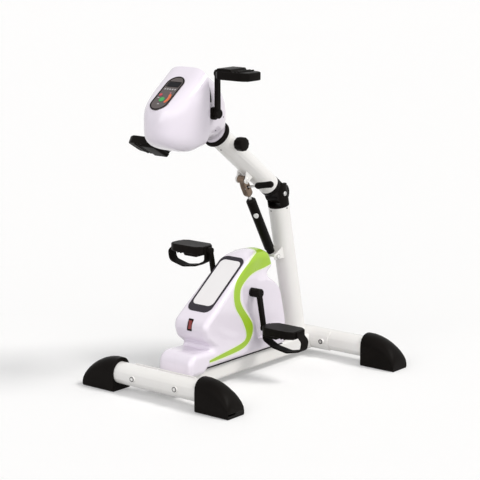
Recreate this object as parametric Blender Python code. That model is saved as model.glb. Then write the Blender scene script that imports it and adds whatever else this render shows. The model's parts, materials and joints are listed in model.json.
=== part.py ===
"""Electric pedal exerciser: a motor-driven pedal unit on a floor frame, with a hand-crank unit on an arm.

Metres, +Z up, +X to the user's right, the user sits at -Y and looks along +Y.
The origin is on the floor, midway between the two stabilisers.
"""

import math

import bmesh
import bpy
from mathutils import Vector

# Fits shared by all pieces
GAP = 0.0003
SPLIT_GAP = 0.0003

# Floor frame
STABILISER_SPACING = 0.605
FRONT_WIDTH = 0.490
REAR_WIDTH = 0.640
TUBE_RADIUS = 0.0285
TUBE_WALL = 0.002
TUBE_HEIGHT = 0.046
FOOT_LENGTH = 0.108
FOOT_WIDTH = 0.065
FOOT_HEIGHT = 0.0855
FOOT_TIP_HEIGHT = 0.018
FOOT_CROWN_START = 0.020
FOOT_CROWN_POWER = 1.55
FOOT_ARCH_POWER = 2.25
FOOT_SOCKET_DEPTH = 0.055
BEAM_WIDTH = 0.080
BEAM_HEIGHT = 0.042
BEAM_BOTTOM = 0.0175
BEAM_WALL = 0.0025
BEAM_CORNER = 0.006
SADDLE_THICKNESS = 0.003
SADDLE_WIDTH = 0.200
SADDLE_WRAP = math.radians(62)
FRONT_BOLT_SPREAD = 0.143
REAR_BOLT_SPREAD = 0.166
FRAME_BOLT_RADIUS = 0.004
FRAME_BOLT_HEAD_RADIUS = 0.0085
FRAME_BOLT_HEAD_HEIGHT = 0.005
FRAME_NUT_RADIUS = 0.0075
FRAME_NUT_HEIGHT = 0.0065

# Mast and its hinge with the arm
MAST_FOOT_Y = 0.260
MAST_LEAN = math.radians(12)
MAST_LENGTH = 0.4155
HINGE_COVER_RADIUS = 0.0289
HINGE_DISC_RADIUS = 0.0295
HINGE_BOLT_SEAT = 0.0262
HINGE_BOLT_RECESS = 0.0078
HINGE_KNUCKLE_RADIUS = 0.0275
HINGE_FLOOR = 0.0320
HINGE_TONGUE_WIDTH = 0.042
HINGE_SPIGOT_LENGTH = 0.018
MAST_COVER_LENGTH = 0.0365
ARM_COVER_LENGTH = 0.046
PIVOT_BOLT_RADIUS = 0.005
PIVOT_HEAD_RADIUS = 0.0065
PIVOT_HEAD_HEIGHT = 0.0035

# Arm, measured along its axis from the hinge
ARM_ANGLE = math.radians(36.5)
ARM_LENGTH = 0.3135
HEAD_OVERHANG = 0.1173
COLLAR_RADIUS = 0.0340
COLLAR_WIDTH = 0.0110
COLLAR_SPIGOT = 0.022
NECK_RADIUS = 0.0245
NECK_WALL = 0.002
NECK_INSERTION = 0.064
KNOB_SETBACK = 0.0400
KNOB_STATION = ARM_LENGTH - KNOB_SETBACK
KNOB_BOSS_RADIUS = 0.0150
KNOB_BOSS_REACH = 0.0400
KNOB_RADIUS = 0.0185
KNOB_LENGTH = 0.027
KNOB_FLUTES = 10
KNOB_FLUTE_DEPTH = 0.0014
KNOB_STEM_RADIUS = 0.004

# Gas strut between the mast and the arm
STRUT_LOW_ALONG = 0.1622
STRUT_LOW_OFFSET = 0.0545
STRUT_HIGH_ALONG = 0.1519
STRUT_HIGH_OFFSET = 0.0428
STRUT_EAR_THICKNESS = 0.003
STRUT_EAR_GAP = 0.026
STRUT_EAR_RADIUS = 0.0105
STRUT_PIN_RADIUS = 0.004
STRUT_PIN_HEAD = 0.0065
STRUT_BODY_RADIUS = 0.0110
STRUT_BODY_START = 0.013
STRUT_BODY_END = 0.193
STRUT_ROD_RADIUS = 0.005
STRUT_ROD_START = 0.045
STRUT_BORE_START = 0.030
STRUT_EYE_WIDTH = 0.022
STRUT_EYE_RADIUS = 0.0100
OPEN_PIVOT_PLAY = 0.0018
RELEASE_HEAD_START = 0.207
RELEASE_HEAD_LENGTH = 0.036
RELEASE_HEAD_WIDTH = 0.021
RELEASE_HEAD_DEPTH = 0.020
LEVER_STATION = 0.0285
LEVER_PIVOT_X = 0.0065
LEVER_RADIUS = 0.003
LEVER_LENGTH = 0.090
LEVER_RISE = math.radians(13)
LEVER_POCKET = 0.0115
LEVER_PIN_RADIUS = 0.0018
GRIP_RADIUS = 0.0088
GRIP_LENGTH = 0.060

# Pedal unit housing, outline in the YZ plane as (y, z, fillet radius)
HOUSING_BASE = 0.0625
HOUSING_SKIRT = 0.050
HOUSING_CORNERS = (
    (0.144, HOUSING_BASE, 0.004),
    (0.150, 0.125, 0.080),
    (0.130, 0.225, 0.060),
    (0.080, 0.262, 0.012),
    (0.117, 0.285, 0.012),
    (0.106, 0.333, 0.022),
    (0.0185, 0.338, 0.080),
    (-0.197, 0.1745, 0.030),
    (-0.184, 0.140, 0.030),
    (-0.146, 0.112, 0.012),
    (-0.249, 0.116, 0.030),
    (-0.254, HOUSING_SKIRT, 0.003),
    (-0.195, HOUSING_SKIRT, 0.003),
    (-0.180, HOUSING_BASE, 0.003),
)
HOUSING_HALF_WIDTH = 0.056
HOUSING_TOP_HALF_WIDTH = 0.047
HOUSING_HORN_HALF_WIDTH = 0.040
HOUSING_FLAT_SHARE = 0.74
HOUSING_CROWN = 0.014
HOUSING_LEVELS = (0.200, 0.235, 0.265, 0.295)
HORN_LEVELS = (0.0, 0.030, 0.060)
FLOOR_OPENING = (0.0385, -0.125, 0.050)
SHAFT_HOLE_RADIUS = 0.012
HOUSING_WALL = 0.0025
RECESS_HALF_WIDTH = 0.0495
RECESS_CORNERS = (
    (0.220, 0.100, 0.0),
    (0.220, 0.268, 0.0),
    (0.050, 0.268, 0.030),
    (-0.040, 0.262, 0.030),
    (-0.040, 0.205, 0.040),
    (0.012, 0.140, 0.040),
    (0.015, 0.100, 0.015),
)
PANEL_SLOPE = math.radians(37.2)
PANEL_CENTRE_Y = -0.0855
PANEL_CENTRE_Z = 0.259
PANEL_LOW = -0.094
PANEL_HIGH = 0.099
PANEL_WIDTH = 0.078
PANEL_CORNER = 0.020
PANEL_POCKET_DEPTH = 0.0015
PANEL_THICKNESS = 0.0026
INSERT_LOW = -0.072
INSERT_HIGH = 0.086
INSERT_WIDTH = 0.067
INSERT_CORNER = 0.014
INSERT_THICKNESS = 0.0020
SWITCH_Y = -0.1864
SWITCH_Z = 0.1715
SWITCH_LEAN = math.radians(16.1)
SWITCH_SEAT_WIDTH = 0.0175
SWITCH_PAD = (0.0125, 0.0123, 0.0038)
SWITCH_WIDTH = 0.0155
SWITCH_HEIGHT = 0.032
SWITCH_RIM = 0.0016
SWITCH_BODY_WIDTH = 0.0126
SWITCH_BODY_HEIGHT = 0.0256
SWITCH_BODY_DEPTH = 0.018
SWITCH_POCKET_DEPTH = 0.012
ROCKER_WIDTH = 0.0100
ROCKER_HEIGHT = 0.0222
ROCKER_PROUD = 0.0034
ROCKER_DEPTH = 0.0040
ROCKER_TILT = math.radians(6)

# Pedal drive
CRANK_Y = 0.003
CRANK_Z = 0.2302
CRANK_LENGTH = 0.0997
CRANK_TILT = math.radians(12)
CRANK_ARM_IN = 0.0685
CRANK_THICKNESS = 0.011
CRANK_HUB_RADIUS = 0.0122
CRANK_TIP_RADIUS = 0.0090
CRANK_ROOT_WIDTH = 0.0160
CRANK_END_WIDTH = 0.0140
CRANK_EDGE = 0.0020
CRANK_HUB_START = 0.0525
SHAFT_RADIUS = 0.0085
BEARING_TUBE_RADIUS = 0.0165
BEARING_TUBE_IN = 0.0125
BEARING_WIDTH = 0.010
BEARING_FIT = 0.0003
BEARING_LEFT = -0.045
BEARING_RIGHT = 0.018
POST_WIDTH = 0.024
POST_DEPTH = 0.036
PULLEY_X = 0.0255
PULLEY_WIDTH = 0.012
PULLEY_RADIUS = 0.055
MOTOR_PULLEY_RADIUS = 0.011
BELT_THICKNESS = 0.002
BELT_STEPS = 14
MOTOR_Y = -0.085
MOTOR_Z = 0.125
MOTOR_RADIUS = 0.030
MOTOR_LENGTH = 0.062
MOTOR_SHAFT_RADIUS = 0.004
MOTOR_FOOT_WIDTH = 0.044

# Pedals, straps and hand grips
PEDAL_LENGTH = 0.108
PEDAL_DEPTH = 0.068
PEDAL_END_INSET = 0.010
PEDAL_SHOULDER = 0.016
PEDAL_UP = 0.0115
PEDAL_DOWN = 0.0095
PEDAL_HUMP = 0.0065
PEDAL_TOOTH = 0.003
PEDAL_RIBS = (0.0695, 0.0800)
PEDAL_END_GAP = 0.0045
SPINDLE_RADIUS = 0.006
SPINDLE_LENGTH = 0.090
STRAP_THICKNESS = 0.0024
STRAP_WIDTH = 0.028
STRAP_DROP = 0.048
STRAP_BULGE = 0.016

# Hand-crank unit
HEAD_ARM_IN = 0.075
HEAD_HUB_START = 0.0615
HEAD_CRANK_LENGTH = 0.101
LEFT_HANDLE_PITCH = math.radians(30)
HEAD_RIM_AHEAD = 0.0223
HEAD_DEPTH = 0.1375
HEAD_HALF_WIDTH = 0.0718
HEAD_CREST = 0.0035
HEAD_CREST_REACH = 0.026
HEAD_NOSE_DROP = 0.0172
HEAD_MIDDLE_RISE = 0.0058
HEAD_BELLY = 0.081
HEAD_NOSE_BLEND = 0.0145
HEAD_WALL = 0.0025
HEAD_SQUARENESS = 2.6
HOOD_SHARES = (0, 0.18, 0.35, 0.50, 0.63, 0.74, 0.83, 0.90, 0.955, 0.985, 0.993)
REAR_SHELL_SECTIONS = (
    (-0.2285, 0.0494, 0.0, 0.0615, 0.095, 2.5),
    (0.1253, 0.0409, 5.0, 0.0590, 0.088, 2.4),
    (0.3896, -0.0529, 15.0, 0.0535, 0.070, 2.3),
    (0.5686, -0.2404, 26.0, 0.0435, 0.048, 2.1),
    (0.6795, -0.4280, 36.5, 0.034, 0.034, 2.0),
)
NECK_CAP_CLEARANCE = 0.0010
NECK_CAP_RADIUS = 0.0310
CONSOLE_SLOPE = math.radians(36)
CONSOLE_AHEAD = 0.0963
CONSOLE_RISE = 0.0538
CONSOLE_LENGTH = 0.122
CONSOLE_WIDTH = 0.054
CONSOLE_TOP = 0.0012
CONSOLE_BOTTOM = -0.0020
CONSOLE_LEDGE_WIDTH = 0.003
CONSOLE_LEDGE_DEPTH = 0.0026
DISPLAY_WIDTH = 0.036
DISPLAY_HEIGHT = 0.015
DISPLAY_ALONG = 0.032
DISPLAY_THICKNESS = 0.0016
KEY_PROUD = 0.0009
KEY_TRAVEL = 0.0006
KEY_FLANGE = 0.0012
KEY_PLUNGER_RADIUS = 0.0015
BOARD_TOP = -0.0080
BOARD_THICKNESS = 0.0016
BOARD_LENGTH = 0.094
BOARD_WIDTH = 0.034
START_KEY = (-0.001, -0.024, 0.0076)
STOP_KEY = (-0.015, -0.008, 0.0045)
SPEED_KEY = (0.0175, -0.019, 0.0036)
SPEED_KEY_LENGTH = 0.024
HEAD_TUBE_RADIUS = 0.0143
HEAD_TUBE_IN = 0.0105
HEAD_TUBE_LEFT = -0.0545
HEAD_TUBE_RIGHT = 0.0215
HEAD_SHAFT_RADIUS = 0.0075
HEAD_PULLEY_X = 0.0265
HEAD_PULLEY_RADIUS = 0.036
HEAD_MOTOR_PULLEY_RADIUS = 0.009
HEAD_MOTOR_AHEAD = 0.0723
HEAD_MOTOR_DROP = 0.0322
HEAD_MOTOR_RADIUS = 0.023
HEAD_MOTOR_LEFT = -0.0265
HEAD_MOTOR_RIGHT = 0.0245
HEAD_BRACKET_THICKNESS = 0.0035

# Values that follow from the ones above
FRONT_Y = -STABILISER_SPACING / 2
REAR_Y = STABILISER_SPACING / 2
BEAM_TOP = BEAM_BOTTOM + BEAM_HEIGHT
PIVOT_Y = MAST_FOOT_Y - MAST_LENGTH * math.sin(MAST_LEAN)
PIVOT_Z = BEAM_TOP + MAST_LENGTH * math.cos(MAST_LEAN)
ARM_LEAN = math.pi / 2 - ARM_ANGLE
HEAD_REACH = ARM_LENGTH + HEAD_OVERHANG
HEAD_CRANK_Y = PIVOT_Y - HEAD_REACH * math.cos(ARM_ANGLE)
HEAD_CRANK_Z = PIVOT_Z + HEAD_REACH * math.sin(ARM_ANGLE)
HEAD_RIM_Y = HEAD_CRANK_Y - HEAD_RIM_AHEAD
HEAD_NOSE_Z = HEAD_CRANK_Z - HEAD_NOSE_DROP
HEAD_MIDDLE_Z = HEAD_CRANK_Z + HEAD_MIDDLE_RISE
HEAD_MOTOR_Y = HEAD_CRANK_Y - HEAD_MOTOR_AHEAD
HEAD_MOTOR_Z = HEAD_CRANK_Z - HEAD_MOTOR_DROP
CONSOLE_Y = HEAD_CRANK_Y - CONSOLE_AHEAD
CONSOLE_Z = HEAD_CRANK_Z + CONSOLE_RISE
NECK_CAP_STATION = ARM_LENGTH + COLLAR_WIDTH + NECK_CAP_CLEARANCE
EAR_ROOT = math.sqrt(TUBE_RADIUS ** 2 - (STRUT_EAR_GAP / 2) ** 2) + GAP
LEVER_PIVOT_Z = RELEASE_HEAD_START + LEVER_STATION
ALONG_X = (0, math.pi / 2, 0)
ALONG_Y = (-math.pi / 2, 0, 0)

PAINTS = {
    "white_paint": ((0.86, 0.85, 0.84), 0.28, 0.0),
    "lilac_gloss": ((0.82, 0.79, 0.86), 0.16, 0.0),
    "black_plastic": ((0.02, 0.02, 0.022), 0.42, 0.0),
    "black_rubber": ((0.025, 0.025, 0.025), 0.70, 0.0),
    "dark_grey": ((0.06, 0.055, 0.075), 0.35, 0.0),
    "console_grey": ((0.30, 0.30, 0.31), 0.40, 0.0),
    "insert_white": ((0.90, 0.89, 0.89), 0.30, 0.0),
    "steel": ((0.55, 0.55, 0.56), 0.32, 1.0),
    "bronze_steel": ((0.20, 0.14, 0.10), 0.38, 0.9),
    "switch_red": ((0.45, 0.02, 0.015), 0.30, 0.0),
    "key_red": ((0.55, 0.05, 0.06), 0.40, 0.0),
    "key_green": ((0.05, 0.42, 0.12), 0.40, 0.0),
    "key_orange": ((0.80, 0.20, 0.05), 0.40, 0.0),
    "display_black": ((0.01, 0.01, 0.012), 0.08, 0.0),
    "board_green": ((0.02, 0.18, 0.08), 0.50, 0.0),
    "belt_black": ((0.03, 0.03, 0.03), 0.80, 0.0),
}


# Scene helpers

def clear_scene():
    for item in list(bpy.data.objects):
        bpy.data.objects.remove(item, do_unlink=True)


def paint(name):
    found = bpy.data.materials.get(name)
    if found:
        return found
    colour, roughness, metallic = PAINTS[name]
    made = bpy.data.materials.new(name)
    made.use_nodes = True
    shader = made.node_tree.nodes["Principled BSDF"]
    shader.inputs["Base Color"].default_value = (*colour, 1.0)
    shader.inputs["Roughness"].default_value = roughness
    shader.inputs["Metallic"].default_value = metallic
    made.diffuse_color = (*colour, 1.0)
    return made


def frame_at(name, location, rotation=(0, 0, 0), parent=None):
    """An empty that carries a moving group, with its origin on the group's joint axis."""
    empty = bpy.data.objects.new(name, None)
    empty.empty_display_size = 0.03
    bpy.context.scene.collection.objects.link(empty)
    empty.parent = parent
    empty.location = location
    empty.rotation_euler = rotation
    return empty


def add_object(name, mesh_maker, material, parent=None, location=(0, 0, 0), rotation=(0, 0, 0)):
    """Links one closed mesh as an object. In world coordinates unless it has a parent."""
    bmesh.ops.recalc_face_normals(mesh_maker, faces=mesh_maker.faces)
    mesh = bpy.data.meshes.new(name)
    mesh_maker.to_mesh(mesh)
    mesh_maker.free()
    mesh.shade_smooth()
    mesh.set_sharp_from_angle(angle=math.radians(32))
    item = bpy.data.objects.new(name, mesh)
    bpy.context.scene.collection.objects.link(item)
    if material:
        item.data.materials.append(paint(material))
    item.parent = parent
    item.location = location
    item.rotation_euler = rotation
    return item


def add_cutter(name, mesh_maker, parent=None, location=(0, 0, 0), rotation=(0, 0, 0)):
    """A helper for Boolean modifiers, which is no piece of the product."""
    item = add_object(name, mesh_maker, None, parent, location, rotation)
    item.hide_render = True
    item.display_type = "WIRE"
    return item


def combine(target, helper, operation):
    modifier = target.modifiers.new(helper.name, "BOOLEAN")
    modifier.object = helper
    modifier.operation = operation
    modifier.solver = "EXACT"


def cut(target, helper):
    combine(target, helper, "DIFFERENCE")


def weld(target, helper):
    combine(target, helper, "UNION")


# Outlines and solids

def arc(centre, radius, start, end, steps):
    """Points of an arc in the plane, both ends included."""
    angles = [start + (end - start) * i / steps for i in range(steps + 1)]
    return [(centre[0] + radius * math.cos(a), centre[1] + radius * math.sin(a)) for a in angles]


def inset_corners(corners, distance):
    """Moves each edge of a counter-clockwise outline inwards, and keeps its fillets concentric."""
    moved = []
    count = len(corners)
    for i in range(count):
        before = Vector(corners[i - 1][:2])
        here = Vector(corners[i][:2])
        after = Vector(corners[(i + 1) % count][:2])
        edge_in = (here - before).normalized()
        edge_out = (after - here).normalized()
        normal_in = Vector((-edge_in.y, edge_in.x))
        normal_out = Vector((-edge_out.y, edge_out.x))
        bisector = normal_in + normal_out
        shift = bisector * (2 * distance / bisector.length_squared)
        turning_left = edge_in.cross(edge_out) > 0
        radius = corners[i][2] - distance if turning_left else corners[i][2] + distance
        moved.append((here.x + shift.x, here.y + shift.y, max(radius, 0.0008)))
    return moved


def filleted(corners, step=math.radians(18)):
    """Closed outline in which each corner (x, y, radius) becomes an arc."""
    points = []
    count = len(corners)
    for i in range(count):
        here = Vector(corners[i][:2])
        before = Vector(corners[i - 1][:2]) - here
        after = Vector(corners[(i + 1) % count][:2]) - here
        inner_angle = before.angle(after)
        turn = math.pi - inner_angle
        radius = corners[i][2]
        if radius <= 0 or turn < math.radians(2):
            points.append(tuple(here))
            continue
        reach = min(radius * math.tan(turn / 2), 0.48 * before.length, 0.48 * after.length)
        radius = reach / math.tan(turn / 2)
        middle = (before.normalized() + after.normalized()).normalized()
        centre = here + middle * (radius / math.sin(inner_angle / 2))
        first = here + before.normalized() * reach - centre
        last = here + after.normalized() * reach - centre
        steps = max(2, math.ceil(turn / step))
        sweep = math.atan2(first.x * last.y - first.y * last.x, first.dot(last))
        for k in range(steps + 1):
            part = sweep * k / steps
            turned = Vector((first.x * math.cos(part) - first.y * math.sin(part),
                             first.x * math.sin(part) + first.y * math.cos(part)))
            points.append(tuple(centre + turned))
    return points


def rounded_rectangle(width, height, radius, step=math.radians(30)):
    x = width / 2
    y = height / 2
    return filleted([(-x, -y, radius), (x, -y, radius), (x, y, radius), (-x, y, radius)], step)


def loft(sections, closed_ends=True):
    """A solid through sections that have the same number of 3-D points."""
    maker = bmesh.new()
    rings = [[maker.verts.new(point) for point in section] for section in sections]
    for ring, next_ring in zip(rings, rings[1:]):
        for i in range(len(ring)):
            j = (i + 1) % len(ring)
            maker.faces.new((ring[i], ring[j], next_ring[j], next_ring[i]))
    if closed_ends:
        maker.faces.new(rings[0])
        maker.faces.new(rings[-1])
    return maker


def prism(outline, low, high):
    return loft([[(x, y, z) for x, y in outline] for z in (low, high)])


def frame_prism(outer, inner, low, high):
    """A prism with a hole through it, from two outlines that have the same number of points."""
    maker = bmesh.new()
    corners = ((outer, low), (outer, high), (inner, high), (inner, low))
    rings = [[maker.verts.new((x, y, z)) for x, y in outline] for outline, z in corners]
    for ring, next_ring in zip(rings, rings[1:] + rings[:1]):
        for i in range(len(ring)):
            j = (i + 1) % len(ring)
            maker.faces.new((ring[i], ring[j], next_ring[j], next_ring[i]))
    return maker


def turned(profile, steps=20):
    """A solid of revolution about Z from a closed or axis-to-axis profile of (radius, height)."""
    maker = bmesh.new()
    rings = []
    for radius, height in profile:
        if radius == 0:
            rings.append([maker.verts.new((0, 0, height))])
            continue
        angles = [2 * math.pi * i / steps for i in range(steps)]
        rings.append([maker.verts.new((radius * math.cos(a), radius * math.sin(a), height)) for a in angles])
    closed = profile[0][0] > 0
    pairs = list(zip(rings, rings[1:])) + ([(rings[-1], rings[0])] if closed else [])
    for ring, next_ring in pairs:
        for i in range(steps):
            j = (i + 1) % steps
            if len(ring) == 1:
                maker.faces.new((ring[0], next_ring[j], next_ring[i]))
            elif len(next_ring) == 1:
                maker.faces.new((ring[i], ring[j], next_ring[0]))
            else:
                maker.faces.new((ring[i], ring[j], next_ring[j], next_ring[i]))
    return maker


def rod(radius, low, high, steps=20):
    return turned([(0, low), (radius, low), (radius, high), (0, high)], steps)


def pipe(outer, inner, low, high, steps=26):
    return turned([(inner, low), (outer, low), (outer, high), (inner, high)], steps)


def block(x_range, y_range, z_range):
    outline = [(x_range[0], y_range[0]), (x_range[1], y_range[0]), (x_range[1], y_range[1]),
               (x_range[0], y_range[1])]
    return prism(outline, *z_range)


def hull_outline(big_radius, small_radius, distance, steps=9):
    """Outline round two circles, the big one at the origin and the small one at (distance, 0)."""
    lean = math.acos((big_radius - small_radius) / distance)
    big = arc((0, 0), big_radius, lean, 2 * math.pi - lean, steps)
    small = arc((distance, 0), small_radius, -lean, lean, steps)
    return big + small


# Floor frame

def stabiliser(name, y, overall_width, bolt_spread):
    half = overall_width / 2 - FOOT_LENGTH + FOOT_SOCKET_DEPTH - GAP
    tube = add_object(name, pipe(TUBE_RADIUS, TUBE_RADIUS - TUBE_WALL, -half, half), "white_paint",
                      None, (0, y, TUBE_HEIGHT), ALONG_X)
    for side in (-1, 1):
        drill = rod(FRAME_BOLT_RADIUS + 2 * GAP, -TUBE_RADIUS * 1.5, TUBE_RADIUS * 1.5, 12)
        place = (side * bolt_spread / 2, y, TUBE_HEIGHT)
        cut(tube, add_cutter(f"{name}_drill_{side}", drill, None, place, ALONG_Y))


def frame_bolt():
    """Cup-head bolt and its nut along Z, the head at the low end."""
    seat = TUBE_RADIUS + GAP
    nut_seat = seat + SADDLE_THICKNESS - 0.001
    nut_end = seat + SADDLE_THICKNESS + FRAME_NUT_HEIGHT
    head_end = -seat - FRAME_BOLT_HEAD_HEIGHT
    head = FRAME_BOLT_HEAD_RADIUS
    return turned([
        (0, head_end), (0.6 * head, head_end + 0.0008), (head, -seat - 0.0015),
        (head, -seat), (FRAME_BOLT_RADIUS, -seat), (FRAME_BOLT_RADIUS, nut_seat),
        (FRAME_NUT_RADIUS, nut_seat),
        (FRAME_NUT_RADIUS, nut_end - 0.001), (0.8 * FRAME_NUT_RADIUS, nut_end), (0, nut_end)], 12)


def saddle(name, y, beam_side, bolt_spread):
    """Curved plate that is welded to the beam's end and bolted through a stabiliser."""
    inner = TUBE_RADIUS + GAP
    outer = inner + SADDLE_THICKNESS
    middle = beam_side * math.pi / 2
    outline = arc((0, 0), outer, middle - SADDLE_WRAP, middle + SADDLE_WRAP, 9)
    outline += arc((0, 0), inner + GAP, middle + SADDLE_WRAP, middle - SADDLE_WRAP, 9)
    half = SADDLE_WIDTH / 2
    plate = add_object(name, prism(outline, -half, half), "white_paint", None, (0, y, TUBE_HEIGHT), ALONG_X)
    for side in (-1, 1):
        place = (side * bolt_spread / 2, y, TUBE_HEIGHT)
        turn = (-beam_side * math.pi / 2, 0, 0)
        weld(plate, add_cutter(f"{name}_bolt_{side}", frame_bolt(), None, place, turn))


def foot_section(x, height):
    """Arch-shaped section across a foot, from one lower edge over the top to the other."""
    half = FOOT_WIDTH / 2
    spring = 0.60 * height
    arch = [point for point in oval(half, height - spring, 1.0, FOOT_ARCH_POWER, 2.0, 20)[:11]]
    points = [(x, half - 0.002, 0.0), (x, half, 0.003)]
    points += [(x, y, spring + z) for y, z in arch]
    return points + [(x, -half, 0.003), (x, -half + 0.002, 0.0)]


def foot(name, side, y, overall_width):
    """End cap of a stabiliser, with a flat base and a top that falls in an arc to its outer end."""
    sections = [foot_section(0.0, FOOT_HEIGHT)]
    span = FOOT_LENGTH - FOOT_CROWN_START
    for i in range(9):
        share = math.sin(math.pi / 2 * i / 8)
        height = FOOT_TIP_HEIGHT + (FOOT_HEIGHT - FOOT_TIP_HEIGHT) * math.sqrt(1 - share ** FOOT_CROWN_POWER)
        sections.append(foot_section(FOOT_CROWN_START + span * share, height))
    flipped = [[(side * x, side * y_, z) for x, y_, z in section] for section in sections]
    inner_end = side * (overall_width / 2 - FOOT_LENGTH)
    cap = add_object(name, loft(flipped), "black_plastic", None, (inner_end, y, 0))
    socket = rod(TUBE_RADIUS + 2 * GAP, -0.01, FOOT_SOCKET_DEPTH, 26)
    turn = (0, side * math.pi / 2, 0)
    cut(cap, add_cutter(f"{name}_socket", socket, None, (inner_end, y, TUBE_HEIGHT), turn))


def base_beam():
    centre_z = BEAM_BOTTOM + BEAM_HEIGHT / 2
    outline = rounded_rectangle(BEAM_WIDTH, BEAM_HEIGHT, BEAM_CORNER)
    beam = add_object("base_beam", prism(outline, FRONT_Y, REAR_Y), "white_paint", None, (0, 0, centre_z),
                      ALONG_Y)
    hollow = rounded_rectangle(BEAM_WIDTH - 2 * BEAM_WALL, BEAM_HEIGHT - 2 * BEAM_WALL,
                               BEAM_CORNER - BEAM_WALL)
    cut(beam,
        add_cutter("beam_hollow", prism(hollow, 2 * FRONT_Y, 2 * REAR_Y), None, (0, 0, centre_z), ALONG_Y))
    notch_radius = TUBE_RADIUS + SADDLE_THICKNESS + 2 * GAP
    for name, y in (("beam_front_notch", FRONT_Y), ("beam_rear_notch", REAR_Y)):
        notch = rod(notch_radius, -BEAM_WIDTH, BEAM_WIDTH, 32)
        cut(beam, add_cutter(name, notch, None, (0, y, TUBE_HEIGHT), ALONG_X))


def mast_tube(mast):
    low = -2 * TUBE_RADIUS
    high = MAST_LENGTH - MAST_COVER_LENGTH - GAP
    tube = add_object("mast_tube", pipe(TUBE_RADIUS, TUBE_RADIUS - TUBE_WALL, low, high), "white_paint",
                      mast)
    reach = 3 * TUBE_RADIUS
    below = block((-reach, reach), (MAST_FOOT_Y - reach, MAST_FOOT_Y + reach), (-reach, BEAM_TOP + GAP))
    cut(tube, add_cutter("mast_foot_cut", below))
    notch = rod(TUBE_RADIUS + SADDLE_THICKNESS + 2 * GAP, -reach, reach, 32)
    cut(tube, add_cutter("mast_saddle_cut", notch, None, (0, REAR_Y, TUBE_HEIGHT), ALONG_X))


# Hinge between mast and arm

def mast_hinge_fork(mast_top):
    """Black cover on the mast's top, rounded over the hinge's axis, with a slot for the tongue."""
    spigot = TUBE_RADIUS - TUBE_WALL - GAP
    low = -MAST_COVER_LENGTH
    high = HINGE_DISC_RADIUS + 0.004
    profile = [(0, low - HINGE_SPIGOT_LENGTH), (spigot, low - HINGE_SPIGOT_LENGTH), (spigot, low),
               (HINGE_COVER_RADIUS, low), (HINGE_COVER_RADIUS, high), (0, high)]
    fork = add_object("mast_hinge_fork", turned(profile, 28), "black_plastic", mast_top)
    reach = 0.06
    over = [(-reach, 0.0)] + arc((0, 0), HINGE_DISC_RADIUS, math.pi, 0, 15)
    over += [(reach, 0.0), (reach, reach), (-reach, reach)]
    crown = loft([[(x, y, z) for y, z in over] for x in (-reach, reach)])
    cut(fork, add_cutter("fork_crown", crown, mast_top))
    half = HINGE_TONGUE_WIDTH / 2 + GAP
    cut(fork, add_cutter("fork_slot", block((-half, half), (-0.05, 0.05), (-HINGE_FLOOR, 0.05)), mast_top))
    hole = rod(PIVOT_BOLT_RADIUS + GAP, -0.05, 0.05, 18)
    cut(fork, add_cutter("fork_hole", hole, mast_top, (0, 0, 0), ALONG_X))
    for side in (-1, 1):
        low, high = sorted((side * HINGE_BOLT_SEAT, side * 0.05))
        recess = rod(HINGE_BOLT_RECESS, low, high, 20)
        cut(fork, add_cutter(f"fork_recess_{side}", recess, mast_top, (0, 0, 0), ALONG_X))


def arm_pivot_bolt(mast_top):
    seat = HINGE_BOLT_SEAT + GAP
    head = PIVOT_HEAD_RADIUS
    end = seat + PIVOT_HEAD_HEIGHT
    bolt = turned([(0, -end), (0.8 * head, -end), (0.9 * head, -seat), (PIVOT_BOLT_RADIUS, -seat),
                   (PIVOT_BOLT_RADIUS, seat), (head, seat), (head, seat + 0.0015),
                   (0.75 * head, end - 0.0008),
                   (0.4 * head, end), (0, end)], 16)
    add_object("arm_pivot_bolt", bolt, "steel", mast_top, (0, 0, 0), ALONG_X)


def arm_hinge_tongue(arm):
    spigot = TUBE_RADIUS - TUBE_WALL - GAP
    top = ARM_COVER_LENGTH + HINGE_SPIGOT_LENGTH
    profile = [(0, HINGE_FLOOR), (HINGE_COVER_RADIUS, HINGE_FLOOR), (HINGE_COVER_RADIUS, ARM_COVER_LENGTH),
               (spigot, ARM_COVER_LENGTH), (spigot, top), (0, top)]
    tongue = add_object("arm_hinge_tongue", turned(profile, 26), "black_plastic", arm)
    half = HINGE_TONGUE_WIDTH / 2
    knuckle = rod(HINGE_KNUCKLE_RADIUS, -half, half, 26)
    weld(tongue, add_cutter("tongue_knuckle", knuckle, arm, (0, 0, 0), ALONG_X))
    neck = block((-half, half), (-half, half), (0, HINGE_FLOOR + 0.004))
    weld(tongue, add_cutter("tongue_neck", neck, arm))
    hole = rod(PIVOT_BOLT_RADIUS + GAP, -0.05, 0.05, 16)
    cut(tongue, add_cutter("tongue_hole", hole, arm, (0, 0, 0), ALONG_X))


# Arm

def arm_tube(arm):
    low = ARM_COVER_LENGTH + GAP
    tube = add_object("arm_tube", rod(TUBE_RADIUS, low, ARM_LENGTH, 26), "white_paint", arm)
    at_knob = (0, 0, KNOB_STATION)
    boss_root = TUBE_RADIUS - 3 * TUBE_WALL
    boss = turned([(0, boss_root), (KNOB_BOSS_RADIUS, boss_root),
                   (KNOB_BOSS_RADIUS, KNOB_BOSS_REACH - 0.003),
                   (KNOB_BOSS_RADIUS - 0.003, KNOB_BOSS_REACH), (0, KNOB_BOSS_REACH)], 20)
    weld(tube, add_cutter("knob_boss", boss, arm, at_knob, ALONG_X))
    bore = rod(TUBE_RADIUS - TUBE_WALL, 0, ARM_LENGTH + 0.02, 26)
    cut(tube, add_cutter("arm_bore", bore, arm))
    drill = rod(KNOB_STEM_RADIUS + GAP, 0, KNOB_BOSS_REACH + 0.02, 16)
    cut(tube, add_cutter("knob_drill", drill, arm, at_knob, ALONG_X))


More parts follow.
